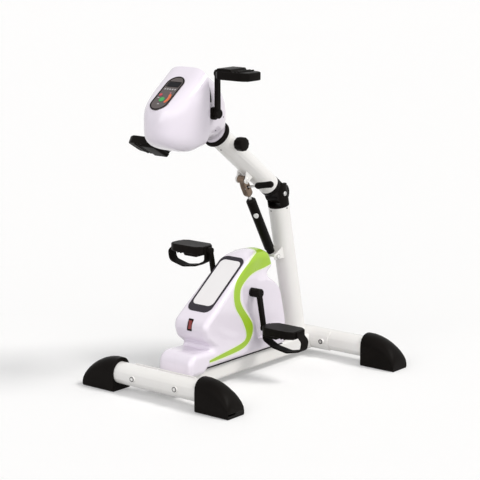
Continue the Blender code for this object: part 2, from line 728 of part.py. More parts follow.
def collar_ring(arm):
    """Black bush in the arm's end with a flange, in which the head's neck turns."""
    bore = NECK_RADIUS + GAP
    spigot = TUBE_RADIUS - TUBE_WALL - GAP
    base = ARM_LENGTH + GAP
    top = base + COLLAR_WIDTH
    rim = COLLAR_RADIUS
    profile = [(bore, base - COLLAR_SPIGOT), (spigot, base - COLLAR_SPIGOT), (spigot, base),
               (rim - 0.002, base),
               (rim, base + 0.002), (rim, top - 0.002), (rim - 0.002, top), (bore, top)]
    add_object("collar_ring", turned(profile, 26), "black_plastic", arm)


def knob_outline(scale, height):
    """Fluted round outline of the knob at one height."""
    steps = 3 * KNOB_FLUTES
    points = []
    for i in range(steps):
        angle = 2 * math.pi * i / steps
        radius = scale * (KNOB_RADIUS - KNOB_FLUTE_DEPTH * (1 - math.cos(KNOB_FLUTES * angle)) / 2)
        points.append((radius * math.cos(angle), radius * math.sin(angle), height))
    return points


def lock_knob(knob):
    """Fluted clamp knob about X with its screw, whose tip bears on the head's neck."""
    start = KNOB_BOSS_REACH + GAP
    end = start + KNOB_LENGTH
    layers = ((0.80, start), (0.97, start + 0.004), (1.0, start + 0.009), (1.0, end - 0.004),
              (0.94, end - 0.001),
              (0.80, end))
    head = add_object("lock_knob", loft([knob_outline(scale, z) for scale, z in layers]), "black_plastic",
                      knob,
                      (0, 0, 0), ALONG_X)
    screw = rod(KNOB_STEM_RADIUS, NECK_RADIUS + GAP, start + 0.004, 16)
    weld(head, add_cutter("knob_screw", screw, knob, (0, 0, 0), ALONG_X))


# Gas strut

def strut_bracket(name, parent, along, offset, ear_top):
    """Two welded ears and the bolt through them, pointing to local -Y."""
    half_base = 0.016
    ear = filleted([(-ear_top, -half_base, 0.001), (-offset, -half_base * 0.5, 0.010),
                    (-offset - STRUT_EAR_RADIUS, -STRUT_EAR_RADIUS * 0.8, 0.008),
                    (-offset - STRUT_EAR_RADIUS, STRUT_EAR_RADIUS * 0.8, 0.008),
                    (-offset, half_base * 0.5, 0.010), (-ear_top, half_base, 0.001)][::-1])
    inner = STRUT_EAR_GAP / 2
    outer = inner + STRUT_EAR_THICKNESS
    seat = outer + STRUT_PIN_HEAD * 0.6
    pin = rod(STRUT_PIN_RADIUS, -seat, seat, 14)
    bracket = add_object(name, pin, "white_paint", parent, (0, -offset, along), ALONG_X)
    for side in (-1, 1):
        low, high = sorted((side * inner, side * outer))
        plate = prism([(-z, y + offset) for y, z in ear], low, high)
        weld(bracket, add_cutter(f"{name}_ear_{side}", plate, parent, (0, -offset, along), ALONG_X))
        head_low, head_high = sorted((side * (outer - 0.001), side * (seat + 0.0005)))
        head = rod(STRUT_PIN_HEAD, head_low, head_high, 12)
        weld(bracket, add_cutter(f"{name}_head_{side}", head, parent, (0, -offset, along), ALONG_X))


def strut_cylinder(strut):
    """Black gas-spring tube with its lower eye, open at the top for the rod."""
    radius = STRUT_BODY_RADIUS
    bore = STRUT_ROD_RADIUS + GAP
    profile = [(0, STRUT_BODY_START - 0.006), (radius * 0.6, STRUT_BODY_START - 0.006),
               (radius, STRUT_BODY_START),
               (radius, STRUT_BODY_END - 0.003), (radius * 0.8, STRUT_BODY_END), (bore, STRUT_BODY_END),
               (bore, STRUT_BORE_START), (0, STRUT_BORE_START)]
    body = add_object("strut_cylinder", turned(profile, 24), "black_plastic", strut)
    eye = rod(STRUT_EYE_RADIUS, -STRUT_EYE_WIDTH / 2, STRUT_EYE_WIDTH / 2, 20)
    weld(body, add_cutter("strut_low_eye", eye, strut, (0, 0, 0), ALONG_X))
    hole = rod(STRUT_PIN_RADIUS + GAP, -0.03, 0.03, 14)
    cut(body, add_cutter("strut_low_hole", hole, strut, (0, 0, 0), ALONG_X))


def strut_rod(strut):
    add_object("strut_rod", rod(STRUT_ROD_RADIUS, STRUT_ROD_START, RELEASE_HEAD_START + 0.010, 20), "steel",
               strut)


def release_head(strut, strut_length):
    """Head on the rod: lever pocket below, and the eye that the arm's bolt passes through."""
    top = RELEASE_HEAD_START + RELEASE_HEAD_LENGTH
    waist = 0.75
    sections = []
    for scale, z in ((waist, RELEASE_HEAD_START), (1.0, RELEASE_HEAD_START + 0.006), (1.0, top - 0.004),
                     (0.8, strut_length)):
        ring = rounded_rectangle(RELEASE_HEAD_WIDTH * scale, RELEASE_HEAD_DEPTH * scale, 0.004 * scale)
        sections.append([(x, y, z) for x, y in ring])
    head = add_object("release_head", loft(sections), "bronze_steel", strut)
    eye = rod(STRUT_EYE_RADIUS, -STRUT_EYE_WIDTH / 2, STRUT_EYE_WIDTH / 2, 20)
    weld(head, add_cutter("strut_high_eye", eye, strut, (0, 0, strut_length), ALONG_X))
    hole = rod(STRUT_PIN_RADIUS + OPEN_PIVOT_PLAY, -0.03, 0.03, 16)
    cut(head, add_cutter("strut_high_hole", hole, strut, (0, 0, strut_length), ALONG_X))
    socket = rod(STRUT_ROD_RADIUS + GAP, RELEASE_HEAD_START - 0.01, RELEASE_HEAD_START + 0.010 + GAP, 20)
    cut(head, add_cutter("rod_socket", socket, strut))
    half = LEVER_POCKET / 2
    pocket = block((0.001, 0.03), (-half, half), (LEVER_PIVOT_Z - half, LEVER_PIVOT_Z + half))
    cut(head, add_cutter("lever_pocket", pocket, strut))
    pin_hole = rod(LEVER_PIN_RADIUS + GAP, -0.03, 0.03, 16)
    cut(head, add_cutter("lever_pin_hole", pin_hole, strut, (LEVER_PIVOT_X, 0, LEVER_PIVOT_Z), ALONG_Y))


def release_lever(lever):
    """Steel lever along X with its cross pin in the release head."""
    bar = add_object("release_lever", rod(LEVER_RADIUS, -0.002, LEVER_LENGTH, 16), "steel", lever,
                     (0, 0, 0), (0, math.pi / 2 - LEVER_RISE, 0))
    pin = rod(LEVER_PIN_RADIUS, -RELEASE_HEAD_DEPTH / 2, RELEASE_HEAD_DEPTH / 2, 16)
    weld(bar, add_cutter("lever_pin", pin, lever, (0, 0, 0), ALONG_Y))


def lever_grip(lever):
    start = LEVER_LENGTH - GRIP_LENGTH + 0.004
    end = start + GRIP_LENGTH
    bore = LEVER_RADIUS + GAP
    radius = GRIP_RADIUS
    profile = [(0, end), (0.7 * radius, end - 0.001), (radius, end - 0.006),
               (0.92 * radius, (start + end) / 2),
               (radius, start + 0.005), (0.7 * radius, start), (bore, start), (bore, LEVER_LENGTH + GAP),
               (0, LEVER_LENGTH + GAP)]
    add_object("lever_grip", turned(profile, 20), "black_rubber", lever, (0, 0, 0),
               (0, math.pi / 2 - LEVER_RISE, 0))


# Pedal unit housing

def smooth_step(value):
    share = min(max(value, 0.0), 1.0)
    return share * share * (3 - 2 * share)


def housing_half_width(y, z):
    """The housing narrows towards its top, and more so at the rear horn."""
    narrowing = HOUSING_HALF_WIDTH - HOUSING_TOP_HALF_WIDTH
    upper = HOUSING_HALF_WIDTH - narrowing * smooth_step((z - 0.20) / 0.115)
    horn = smooth_step(y / 0.06) * smooth_step((z - 0.225) / 0.05)
    return upper + (HOUSING_HORN_HALF_WIDTH - HOUSING_TOP_HALF_WIDTH) * horn


def housing_half(side, low, inset, crown_steps, step):
    """One half of the housing's form: flat-sided, with a crown that falls away to the outer face."""
    layers = [(low, 0.0), (HOUSING_FLAT_SHARE * HOUSING_HALF_WIDTH, 0.0)]
    crown_width = (1 - HOUSING_FLAT_SHARE) * HOUSING_HALF_WIDTH - inset
    for k in range(1, crown_steps + 1):
        angle = math.pi / 2 * k / crown_steps
        x = HOUSING_FLAT_SHARE * HOUSING_HALF_WIDTH + crown_width * math.sin(angle)
        layers.append((x, (HOUSING_CROWN - inset) * (1 - math.cos(angle))))
    sections = []
    for x, drop in layers:
        ring = filleted(inset_corners(HOUSING_CORNERS, inset + drop), step)
        sections.append([(x, y, z) for y, z in ring])
    maker = loft(sections)
    for level in HOUSING_LEVELS:
        split_by_plane(maker, (0, 0, level), (0, 0, 1))
    for level in HORN_LEVELS:
        split_by_plane(maker, (0, level, 0), (0, 1, 0))
    for vert in maker.verts:
        if vert.co.x > 2 * abs(low):
            vert.co.x *= (housing_half_width(vert.co.y, vert.co.z) - inset) / (HOUSING_HALF_WIDTH - inset)
        vert.co.x *= side
    return maker


def split_by_plane(maker, point, normal):
    """Adds edges where a plane crosses the mesh, so that the form can bend there."""
    parts = maker.verts[:] + maker.edges[:] + maker.faces[:]
    bmesh.ops.bisect_plane(maker, geom=parts, dist=1e-6, plane_co=point, plane_no=normal)


def housing_cavity(name, side):
    cavity = add_cutter(f"{name}_cavity", housing_half(side, -0.001, HOUSING_WALL, 1, math.radians(45)))
    outline = filleted(inset_corners(RECESS_CORNERS, -HOUSING_WALL))
    low, high = sorted((side * (RECESS_HALF_WIDTH - HOUSING_WALL), side * 0.08))
    kept = loft([[(x, y, z) for y, z in outline] for x in (low, high)])
    cut(cavity, add_cutter(f"{name}_recess_wall", kept))
    return cavity


def drive_cover(name, side, panel, switch):
    """One of the two housing shells, which meet on the centre plane."""
    shell = add_object(name, housing_half(side, SPLIT_GAP / 2, 0.0, 3, math.radians(20)), "lilac_gloss")
    cut(shell, housing_cavity(name, side))
    outline = filleted(RECESS_CORNERS)
    low, high = sorted((side * RECESS_HALF_WIDTH, side * 0.08))
    recess = loft([[(x, y, z) for y, z in outline] for x in (low, high)])
    cut(shell, add_cutter(f"{name}_recess", recess))
    pad_x, pad_y, pad_z = SWITCH_PAD
    low, high = sorted((side * SPLIT_GAP / 2, side * pad_x))
    weld(shell, add_cutter(f"{name}_pad", block((low, high), (-pad_y, pad_y), (-pad_z, 0)), switch))
    half = BEAM_WIDTH / 2 + GAP
    beam_slot = block((-half, half), (-0.3, 0.3), (0.0, BEAM_TOP + GAP))
    cut(shell, add_cutter(f"{name}_beam_slot", beam_slot))
    width, back, front = FLOOR_OPENING
    opening = block((-width, width), (back, front), (0.03, HOUSING_BASE + 2 * HOUSING_WALL))
    cut(shell, add_cutter(f"{name}_floor_opening", opening))
    drill = rod(SHAFT_HOLE_RADIUS, -0.1, 0.1, 22)
    cut(shell, add_cutter(f"{name}_shaft_hole", drill, None, (0, CRANK_Y, CRANK_Z), ALONG_X))
    pocket = prism(panel_outline(GAP), -PANEL_POCKET_DEPTH, 0.03)
    cut(shell, add_cutter(f"{name}_panel_pocket", pocket, panel))
    seat = SWITCH_SEAT_WIDTH / 2
    cut(shell, add_cutter(f"{name}_switch_seat", block((-seat, seat), (-0.022, 0.022), (0, 0.02)), switch))
    hole = rounded_rectangle(SWITCH_BODY_WIDTH + 2 * GAP, SWITCH_BODY_HEIGHT + 2 * GAP, 0.001)
    cut(shell, add_cutter(f"{name}_switch_hole", prism(hole, -0.03, 0.02), switch))


def panel_outline(grow=0.0):
    half = PANEL_WIDTH / 2 + grow
    radius = PANEL_CORNER + grow
    corners = [(-half, PANEL_LOW - grow, radius), (half, PANEL_LOW - grow, radius),
               (half, PANEL_HIGH + grow, radius), (-half, PANEL_HIGH + grow, radius)]
    return filleted(corners)


def insert_outline(grow=0.0):
    half = INSERT_WIDTH / 2 + grow
    radius = INSERT_CORNER + grow
    corners = [(-half, INSERT_LOW - grow, radius), (half, INSERT_LOW - grow, radius),
               (half, INSERT_HIGH + grow, radius), (-half, INSERT_HIGH + grow, radius)]
    return filleted(corners)


def cover_panel(panel):
    """Dark frame on the sloping front, with a white sheet in its opening."""
    base = -PANEL_POCKET_DEPTH + GAP
    frame = add_object("cover_panel_frame", prism(panel_outline(), base, base + PANEL_THICKNESS),
                       "dark_grey", panel)
    opening = prism(insert_outline(GAP), -0.01, 0.01)
    cut(frame, add_cutter("panel_opening", opening, panel))
    sheet = prism(insert_outline(), base, base + INSERT_THICKNESS)
    add_object("cover_panel_insert", sheet, "insert_white", panel)


def switch_bezel(switch):
    flange = rounded_rectangle(SWITCH_WIDTH, SWITCH_HEIGHT, 0.002)
    top = GAP + SWITCH_RIM
    bezel = add_object("switch_bezel", prism(flange, GAP, top), "black_plastic", switch)
    body = rounded_rectangle(SWITCH_BODY_WIDTH, SWITCH_BODY_HEIGHT, 0.001)
    weld(bezel, add_cutter("switch_body", prism(body, -SWITCH_BODY_DEPTH, GAP + 0.0005), switch))
    pocket = rounded_rectangle(ROCKER_WIDTH + 2 * GAP, SWITCH_BODY_HEIGHT - 0.002, 0.0005)
    cut(bezel, add_cutter("switch_pocket", prism(pocket, -SWITCH_POCKET_DEPTH, 0.01), switch))


def power_rocker(switch, rocker):
    """Rocker with two faces that meet in a shallow valley, tilted to its off side at rest."""
    half = ROCKER_HEIGHT / 2
    half_width = ROCKER_WIDTH / 2
    outline = [(-half, -0.001), (-0.5 * half, -ROCKER_DEPTH), (0.5 * half, -ROCKER_DEPTH), (half, -0.001),
               (half, ROCKER_PROUD), (0.0, ROCKER_PROUD - 0.0012), (-half, ROCKER_PROUD)]
    sections = [[(x, y, z) for y, z in outline] for x in (-half_width, half_width)]
    add_object("power_rocker", loft(sections), "switch_red", rocker)


# Pedal drive

def bearing_tube(name, radius, inner, shaft, left, right, location):
    """Tube along X with a bearing bore at each end and a wider bore between them."""
    fit = shaft + BEARING_FIT
    profile = [(fit, left), (radius, left), (radius, right), (fit, right), (fit, right - BEARING_WIDTH),
               (inner, right - BEARING_WIDTH), (inner, left + BEARING_WIDTH), (fit, left + BEARING_WIDTH)]
    return add_object(name, turned(profile, 20), "steel", None, location, ALONG_X)


def drive_bearing_tube():
    tube = bearing_tube("drive_bearing_tube", BEARING_TUBE_RADIUS, BEARING_TUBE_IN, SHAFT_RADIUS,
                        BEARING_LEFT, BEARING_RIGHT, (0, CRANK_Y, CRANK_Z))
    half = POST_WIDTH / 2
    depth = POST_DEPTH / 2
    top = CRANK_Z - (BEARING_TUBE_RADIUS + BEARING_TUBE_IN) / 2
    post = block((-half, half), (CRANK_Y - depth, CRANK_Y + depth), (BEAM_TOP + GAP, top))
    weld(tube, add_cutter("bearing_post", post))
    bore = rod(BEARING_TUBE_IN, BEARING_LEFT + BEARING_WIDTH, BEARING_RIGHT - BEARING_WIDTH, 20)
    cut(tube, add_cutter("bearing_bore", bore, None, (0, CRANK_Y, CRANK_Z), ALONG_X))


def shaft(name, radius, reach, parent):
    add_object(name, rod(radius, -reach, reach, 16), "steel", parent, (0, 0, 0), ALONG_X)


def pulley(name, radius, bore, start, parent, material="dark_grey"):
    """Flat pulley with a shallow web on both faces."""
    end = start + PULLEY_WIDTH
    rim = 0.82 * radius
    hub = bore + 0.3 * (radius - bore)
    web = 0.003 if radius > 0.02 else 0.0
    profile = [(bore, start), (hub, start)]
    if web:
        profile += [(hub + web, start + web), (rim - web, start + web)]
        profile += [(rim, start), (radius, start), (radius, end), (rim, end), (rim - web, end - web),
                    (hub + web, end - web)]
    else:
        profile += [(radius, start), (radius, end)]
    profile += [(hub, end), (bore, end)]
    add_object(name, turned(profile, 20 if web else 14), material, parent, (0, 0, 0), ALONG_X)


def belt_loop(big, big_radius, small, small_radius):
    """Outline (y, z) round two pulleys whose chords stay outside both circles."""
    run = small - big
    angle = math.atan2(run.y, run.x)
    outside = 1 / math.cos(math.pi / 2 / BELT_STEPS)
    flat = hull_outline(big_radius * outside, small_radius * outside, run.length, BELT_STEPS)
    return [(big.x + a * math.cos(angle) - b * math.sin(angle),
             big.y + a * math.sin(angle) + b * math.cos(angle))
            for a, b in flat]


def belt(name, big_centre, big_radius, small_centre, small_radius, start):
    """Flat belt round two pulleys, on their outsides."""
    big = Vector(big_centre)
    small = Vector(small_centre)
    end = start + PULLEY_WIDTH
    inner = belt_loop(big, big_radius + GAP, small, small_radius + GAP)
    thick = GAP + BELT_THICKNESS
    outer = belt_loop(big, big_radius + thick, small, small_radius + thick)
    band = add_object(name, loft([[(x, y, z) for y, z in outer] for x in (start + 0.001, end - 0.001)]),
                      "belt_black")
    cut(band,
        add_cutter(f"{name}_inside",
                   loft([[(x, y, z) for y, z in inner] for x in (start - 0.01, end + 0.01)])))


def motor_solid(radius, left, right, shaft_end, shaft_radius):
    """Motor can along Z with stepped ends and its shaft on the high side."""
    step = 0.004
    return turned([(0, left), (0.72 * radius, left), (0.72 * radius, left + step), (radius, left + step),
                   (radius, right - step), (0.72 * radius, right - step), (0.72 * radius, right),
                   (shaft_radius, right), (shaft_radius, shaft_end), (0, shaft_end)], 16)


def drive_motor():
    right = BEARING_RIGHT + 0.002
    place = (0, MOTOR_Y, MOTOR_Z)
    solid = motor_solid(MOTOR_RADIUS, right - MOTOR_LENGTH, right, PULLEY_X + PULLEY_WIDTH,
                        MOTOR_SHAFT_RADIUS)
    motor = add_object("drive_motor", solid, "steel", None, place, ALONG_X)
    half = MOTOR_FOOT_WIDTH / 2
    cradle = block((-0.034, 0.010), (MOTOR_Y - half, MOTOR_Y + half),
                   (BEAM_TOP + GAP, MOTOR_Z - 0.4 * MOTOR_RADIUS))
    weld(motor, add_cutter("motor_cradle", cradle))


# Cranks, pedals and hand grips

def crank(name, length, hub_start, arm_in, shaft_radius, frame, side):
    """Crank arm with its hub and its spindle, all about Z with the arm along +X."""
    arm_out = arm_in + CRANK_THICKNESS
    edge = CRANK_EDGE
    arm = hull_outline(CRANK_ROOT_WIDTH / 2, CRANK_END_WIDTH / 2, length, 6)
    slim = hull_outline(CRANK_ROOT_WIDTH / 2 - edge, CRANK_END_WIDTH / 2 - edge, length, 6)
    layers = ((slim, arm_in), (arm, arm_in + edge), (arm, arm_out - edge), (slim, arm_out))
    turn = (0, side * math.pi / 2, 0)
    body = add_object(name, loft([[(x, y, z) for x, y in ring] for ring, z in layers]), "black_plastic",
                      frame,
                      (0, 0, 0), turn)
    hub = CRANK_HUB_RADIUS
    boss = turned([(0, hub_start), (hub - 0.001, hub_start), (hub, hub_start + 0.001),
                   (hub, arm_out + 0.0005),
                   (hub - 0.0015, arm_out + 0.002), (0, arm_out + 0.002)], 20)
    weld(body, add_cutter(f"{name}_hub", boss, frame, (0, 0, 0), turn))
    tip = turned([(0, arm_in + 0.0005), (CRANK_TIP_RADIUS, arm_in + 0.0005),
                  (CRANK_TIP_RADIUS, arm_out + 0.001),
                  (SPINDLE_RADIUS, arm_out + 0.0015),
                  (SPINDLE_RADIUS, arm_out + PEDAL_END_GAP + SPINDLE_LENGTH),
                  (0, arm_out + PEDAL_END_GAP + SPINDLE_LENGTH)], 14)
    tip_place = (0, 0, -side * length)
    weld(body, add_cutter(f"{name}_spindle", tip, frame, tip_place, turn))
    bore = rod(shaft_radius + GAP, hub_start - 0.01, arm_in - 0.003, 16)
    cut(body, add_cutter(f"{name}_bore", bore, frame, (0, 0, 0), turn))


def pedal_outline(inset):
    """Plan of a pedal: full width in the middle and narrower towards both ends."""
    length = PEDAL_LENGTH
    half = PEDAL_DEPTH / 2
    end = half - PEDAL_END_INSET
    start = end - 0.005
    near = PEDAL_SHOULDER
    far = length - PEDAL_SHOULDER
    corners = [(0, -start, 0.004), (near, -half, 0.010), (far, -half, 0.012), (length, -end, 0.006),
               (length, end, 0.006), (far, half, 0.012), (near, half, 0.010), (0, start, 0.004)]
    return filleted(inset_corners(corners, inset), math.radians(24))


def pedal(name, frame):
    """Pedal from its inner end at x = 0: flat face up, tread with a hump and two ribs below."""
    edge = 0.002
    layers = ((edge, -PEDAL_DOWN), (0, -PEDAL_DOWN + edge), (0, PEDAL_UP - edge), (edge, PEDAL_UP))
    sections = [[(x, y, z) for x, y in pedal_outline(inset)] for inset, z in layers]
    body = add_object(name, loft(sections), "black_plastic", frame)
    base = -PEDAL_DOWN + 0.002
    low = -PEDAL_DOWN - PEDAL_HUMP
    rib = -PEDAL_DOWN - PEDAL_TOOTH
    hump = filleted([(0.009, base, 0), (0.013, low, 0.004), (0.055, low, 0.004), (0.061, base, 0)])
    ribs = [[(x - 0.0035, base), (x - 0.0015, rib), (x + 0.0015, rib),
             (x + 0.0035, base)] for x in PEDAL_RIBS]
    half = PEDAL_DEPTH / 2 - 0.004
    for index, outline in enumerate([hump] + ribs):
        sections = [[(x, y, z) for x, z in outline] for y in (-half, half)]
        weld(body, add_cutter(f"{name}_tread_{index}", loft(sections), frame))
    bore = rod(SPINDLE_RADIUS + GAP, -0.01, SPINDLE_LENGTH + 0.002, 24)
    cut(body, add_cutter(f"{name}_bore", bore, frame, (0, 0, 0), ALONG_X))


def pedal_strap(name, frame):
    """Foot strap: one band from the pedal's outer end, under the foot space, to its inner end."""
    near = GAP + STRAP_THICKNESS / 2
    outer = PEDAL_LENGTH + near
    path = [(outer, 0.0100, 0), (outer, 0.000, 0.010), (outer + STRAP_BULGE, -0.014, 0.012),
            (outer + 0.75 * STRAP_BULGE, -0.040, 0.016), (0.70 * PEDAL_LENGTH, -STRAP_DROP - 0.003, 0.030),
            (0.030, -STRAP_DROP + 0.004, 0.020), (-near, -0.028, 0.012), (-near, 0.0105, 0)]
    middle = open_fillets(path)
    outline = band_outline(middle, STRAP_THICKNESS)
    half = STRAP_WIDTH / 2
    band = add_object(name, loft([[(x, y, z) for x, z in outline] for y in (-half, half)]), "black_rubber",
                      frame)
    hole = rod(SPINDLE_RADIUS + 0.0008, -0.02, 0.02, 24)
    cut(band, add_cutter(f"{name}_hole", hole, frame, (0, 0, 0), ALONG_X))


def open_fillets(path):
    """Points of an open path whose inner corners (x, z, radius) are rounded."""
    last = len(path) - 1
    return filleted([(x, z, radius if 0 < i < last else 0) for i, (x, z, radius) in enumerate(path)])


def band_outline(path, thickness):
    """Outline of a strip of even thickness along an open path."""
    half = thickness / 2
    one_side = []
    other_side = []
    for i, point in enumerate(path):
        here = Vector(point)
        before = Vector(path[max(i - 1, 0)])
        after = Vector(path[min(i + 1, len(path) - 1)])
        direction = (after - before).normalized()
        normal = Vector((-direction.y, direction.x))
        one_side.append(tuple(here + normal * half))
        other_side.append(tuple(here - normal * half))
    return one_side + other_side[::-1]


# Hand-crank unit

def head_neck(arm):
    low = ARM_LENGTH - NECK_INSERTION
    tube = add_object("head_neck", pipe(NECK_RADIUS, NECK_RADIUS - NECK_WALL, low, HEAD_REACH), "steel", arm)
    notch = rod(HEAD_TUBE_RADIUS + GAP, -0.05, 0.05, 20)
    cut(tube, add_cutter("neck_notch", notch, arm, (0, 0, HEAD_REACH), ALONG_X))


def oval(half_width, up, down, power_up, power_down, steps=40):
    """Superellipse outline with its own height above and below the widest line."""
    points = []
    for i in range(steps):
        angle = 2 * math.pi * i / steps
        c = math.cos(angle)
        s = math.sin(angle)
        power = power_up if s >= 0 else power_down
        height = up if s >= 0 else down
        points.append((half_width * math.copysign(abs(c) ** (2 / power), c),
                       height * math.copysign(abs(s) ** (2 / power), s)))
    return points


def front_shell_form(inset, start, shares, steps):
    """Hood of the head: a flat sloping top line, a round nose and a curved belly."""
    sections = []
    depth = HEAD_DEPTH - inset
    first = math.asin(start / depth)
    slope = math.tan(CONSOLE_SLOPE)
    for share in shares:
        angle = first + (math.pi / 2 - first) * share
        out = depth * math.sin(angle)
        y = HEAD_RIM_Y - out
        falloff = math.cos(angle)
        half_width = (HEAD_HALF_WIDTH - inset) * falloff
        middle = HEAD_MIDDLE_Z + (HEAD_NOSE_Z - HEAD_MIDDLE_Z) * out / HEAD_DEPTH
        crest = HEAD_CREST * smooth_step(1 - out / HEAD_CREST_REACH)
        plane = CONSOLE_Z + slope * (y - CONSOLE_Y) + crest - inset / math.cos(CONSOLE_SLOPE)
        beyond = max(0.0, (out - depth + HEAD_NOSE_BLEND) / HEAD_NOSE_BLEND)
        top = HEAD_NOSE_Z + (plane - HEAD_NOSE_Z) * math.sqrt(max(0.0, 1 - beyond ** 2))
        bottom = HEAD_NOSE_Z - (HEAD_BELLY - inset) * falloff
        ring = oval(half_width, max(top - middle, 0.002), max(middle - bottom, 0.002), HEAD_SQUARENESS, 2.4,
                    steps)
        sections.append([(x, y, middle + z) for x, z in ring])
    return loft(sections)


def rear_section(index, inset, ahead=0.0, steps=30):
    """Section of the rear shell, placed by shares of the head's overhang."""
    out, rise, tilt, half_width, half_height, power = REAR_SHELL_SECTIONS[index]
    y = HEAD_CRANK_Y + out * HEAD_OVERHANG
    z = HEAD_CRANK_Z + rise * HEAD_OVERHANG
    lean = math.radians(tilt)
    ring = oval(half_width - inset, half_height - inset, half_height - inset, power, power, steps)
    return [(x, y - ahead + h * math.sin(lean), z + h * math.cos(lean)) for x, h in ring]


def neck_section(radius, station, steps=30):
    """Round section about the arm's axis, in world coordinates."""
    centre_y = PIVOT_Y - station * math.cos(ARM_ANGLE)
    centre_z = PIVOT_Z + station * math.sin(ARM_ANGLE)
    ring = oval(radius, radius, radius, 2.0, 2.0, steps)
    return [(x, centre_y + h * math.sin(ARM_ANGLE), centre_z + h * math.cos(ARM_ANGLE)) for x, h in ring]


def head_rear_shell():
    """Shell that grows from the round neck to the head's full section, open towards the hood."""
    sections = [rear_section(i, 0.0) for i in range(5)]
    sections.append(neck_section(NECK_CAP_RADIUS, NECK_CAP_STATION))
    shell = add_object("head_rear_shell", loft(sections), "lilac_gloss")
    inner = [rear_section(0, HEAD_WALL, 0.002, 18)] + [rear_section(i, HEAD_WALL, 0.0, 18) for i in range(1,
                                                                                                          5)]
    inner.append(neck_section(NECK_CAP_RADIUS - HEAD_WALL, NECK_CAP_STATION + HEAD_WALL, 18))
    cut(shell, add_cutter("rear_shell_cavity", loft(inner)))
    middle = ARM_LENGTH
    hole = loft([neck_section(NECK_RADIUS + GAP, middle), neck_section(NECK_RADIUS + GAP, middle + 0.04)])
    cut(shell, add_cutter("rear_shell_neck_hole", hole))
    drill = rod(SHAFT_HOLE_RADIUS, -0.1, 0.1, 22)
    cut(shell, add_cutter("rear_shell_shaft_hole", drill, None, (0, HEAD_CRANK_Y, HEAD_CRANK_Z), ALONG_X))


def stadium(length, width):
    """Outline with round ends, long in local Y."""
    radius = width / 2
    reach = length / 2 - radius
    return arc((0, reach), radius, 0, math.pi, 13) + arc((0, -reach), radius, math.pi, 2 * math.pi, 13)


def head_front_shell(console):
    shell = add_object("head_front_shell", front_shell_form(0.0, 0.0, HOOD_SHARES, 32), "lilac_gloss")
    cut(shell,
        add_cutter("front_shell_cavity", front_shell_form(HEAD_WALL, HEAD_WALL, HOOD_SHARES[::2], 20)))
    rim = [rear_section(0, -GAP, reach) for reach in (-0.02, 0.004)]
    cut(shell, add_cutter("front_shell_opening", loft(rim)))
    pocket = prism(stadium(CONSOLE_LENGTH + 2 * GAP, CONSOLE_WIDTH + 2 * GAP), -0.02, 0.03)
    cut(shell, add_cutter("console_pocket", pocket, console))
    seat = CONSOLE_BOTTOM - GAP
    inside = 2 * CONSOLE_LEDGE_WIDTH
    outer = stadium(CONSOLE_LENGTH + 8 * GAP, CONSOLE_WIDTH + 8 * GAP)
    inner = stadium(CONSOLE_LENGTH - inside, CONSOLE_WIDTH - inside)
    weld(shell,
         add_cutter("console_ledge", frame_prism(outer, inner, seat - CONSOLE_LEDGE_DEPTH, seat), console))


def key_outline(key, grow):
    x, y, radius = key
    return arc((x, y), radius + grow, 0, 2 * math.pi * 23 / 24, 23)


def speed_key_outline(grow):
    """Crescent-like bar beside the round key, as a bent stadium."""
    x, y, radius = SPEED_KEY
    half = SPEED_KEY_LENGTH / 2
    bend = 0.003
    spine = [(x - bend * (t / half) ** 2, y + t) for t in [half * k / 5 for k in range(-5, 6)]]
    flanks = band_outline(spine, 2 * (radius + grow))
    count = len(spine)
    low_cap = round_cap(flanks[-1], flanks[0])
    high_cap = round_cap(flanks[count - 1], flanks[count])
    return flanks[:count] + high_cap + flanks[count:] + low_cap


def round_cap(start, end):
    """Points of a half circle from one flank to the other, clockwise."""
    centre = (Vector(start) + Vector(end)) / 2
    spoke = Vector(start) - centre
    points = []
    for k in range(1, 6):
        angle = -math.pi * k / 6
        points.append((centre.x + spoke.x * math.cos(angle) - spoke.y * math.sin(angle),
                       centre.y + spoke.x * math.sin(angle) + spoke.y * math.cos(angle)))
    return points


def control_panel(console):
    """Grey face plate of the console, with its posts for the board."""
    plate = prism(stadium(CONSOLE_LENGTH, CONSOLE_WIDTH), CONSOLE_BOTTOM, CONSOLE_TOP)
    panel = add_object("control_panel", plate, "console_grey", console)
    for index, y in enumerate((-0.040, 0.0405)):
        post = rod(0.003, BOARD_TOP + GAP, CONSOLE_BOTTOM + 0.001, 16)
        weld(panel, add_cutter(f"board_post_{index}", post, console, (0, y, 0)))
    window = rounded_rectangle(DISPLAY_WIDTH + 2 * GAP, DISPLAY_HEIGHT + 2 * GAP, 0.0018)
    at_display = (0, DISPLAY_ALONG, 0)
    pocket = prism(window, CONSOLE_TOP - DISPLAY_THICKNESS, 0.01)
    cut(panel, add_cutter("display_pocket", pocket, console, at_display))
    holes = (("start_hole", key_outline(START_KEY, GAP)), ("stop_hole", key_outline(STOP_KEY, GAP)),
             ("speed_hole", speed_key_outline(GAP)))
    for name, outline in holes:
        cut(panel, add_cutter(name, prism(outline, -0.01, 0.01), console))
    glass = rounded_rectangle(DISPLAY_WIDTH, DISPLAY_HEIGHT, 0.0015)
    sheet = prism(glass, CONSOLE_TOP - DISPLAY_THICKNESS + GAP, CONSOLE_TOP - 0.0001)
    add_object("display_window", sheet, "display_black", console, at_display)


def control_board(console):
    outline = rounded_rectangle(BOARD_WIDTH, BOARD_LENGTH, 0.012)
    slab = prism(outline, BOARD_TOP - BOARD_THICKNESS, BOARD_TOP)
    add_object("control_board", slab, "board_green", console)


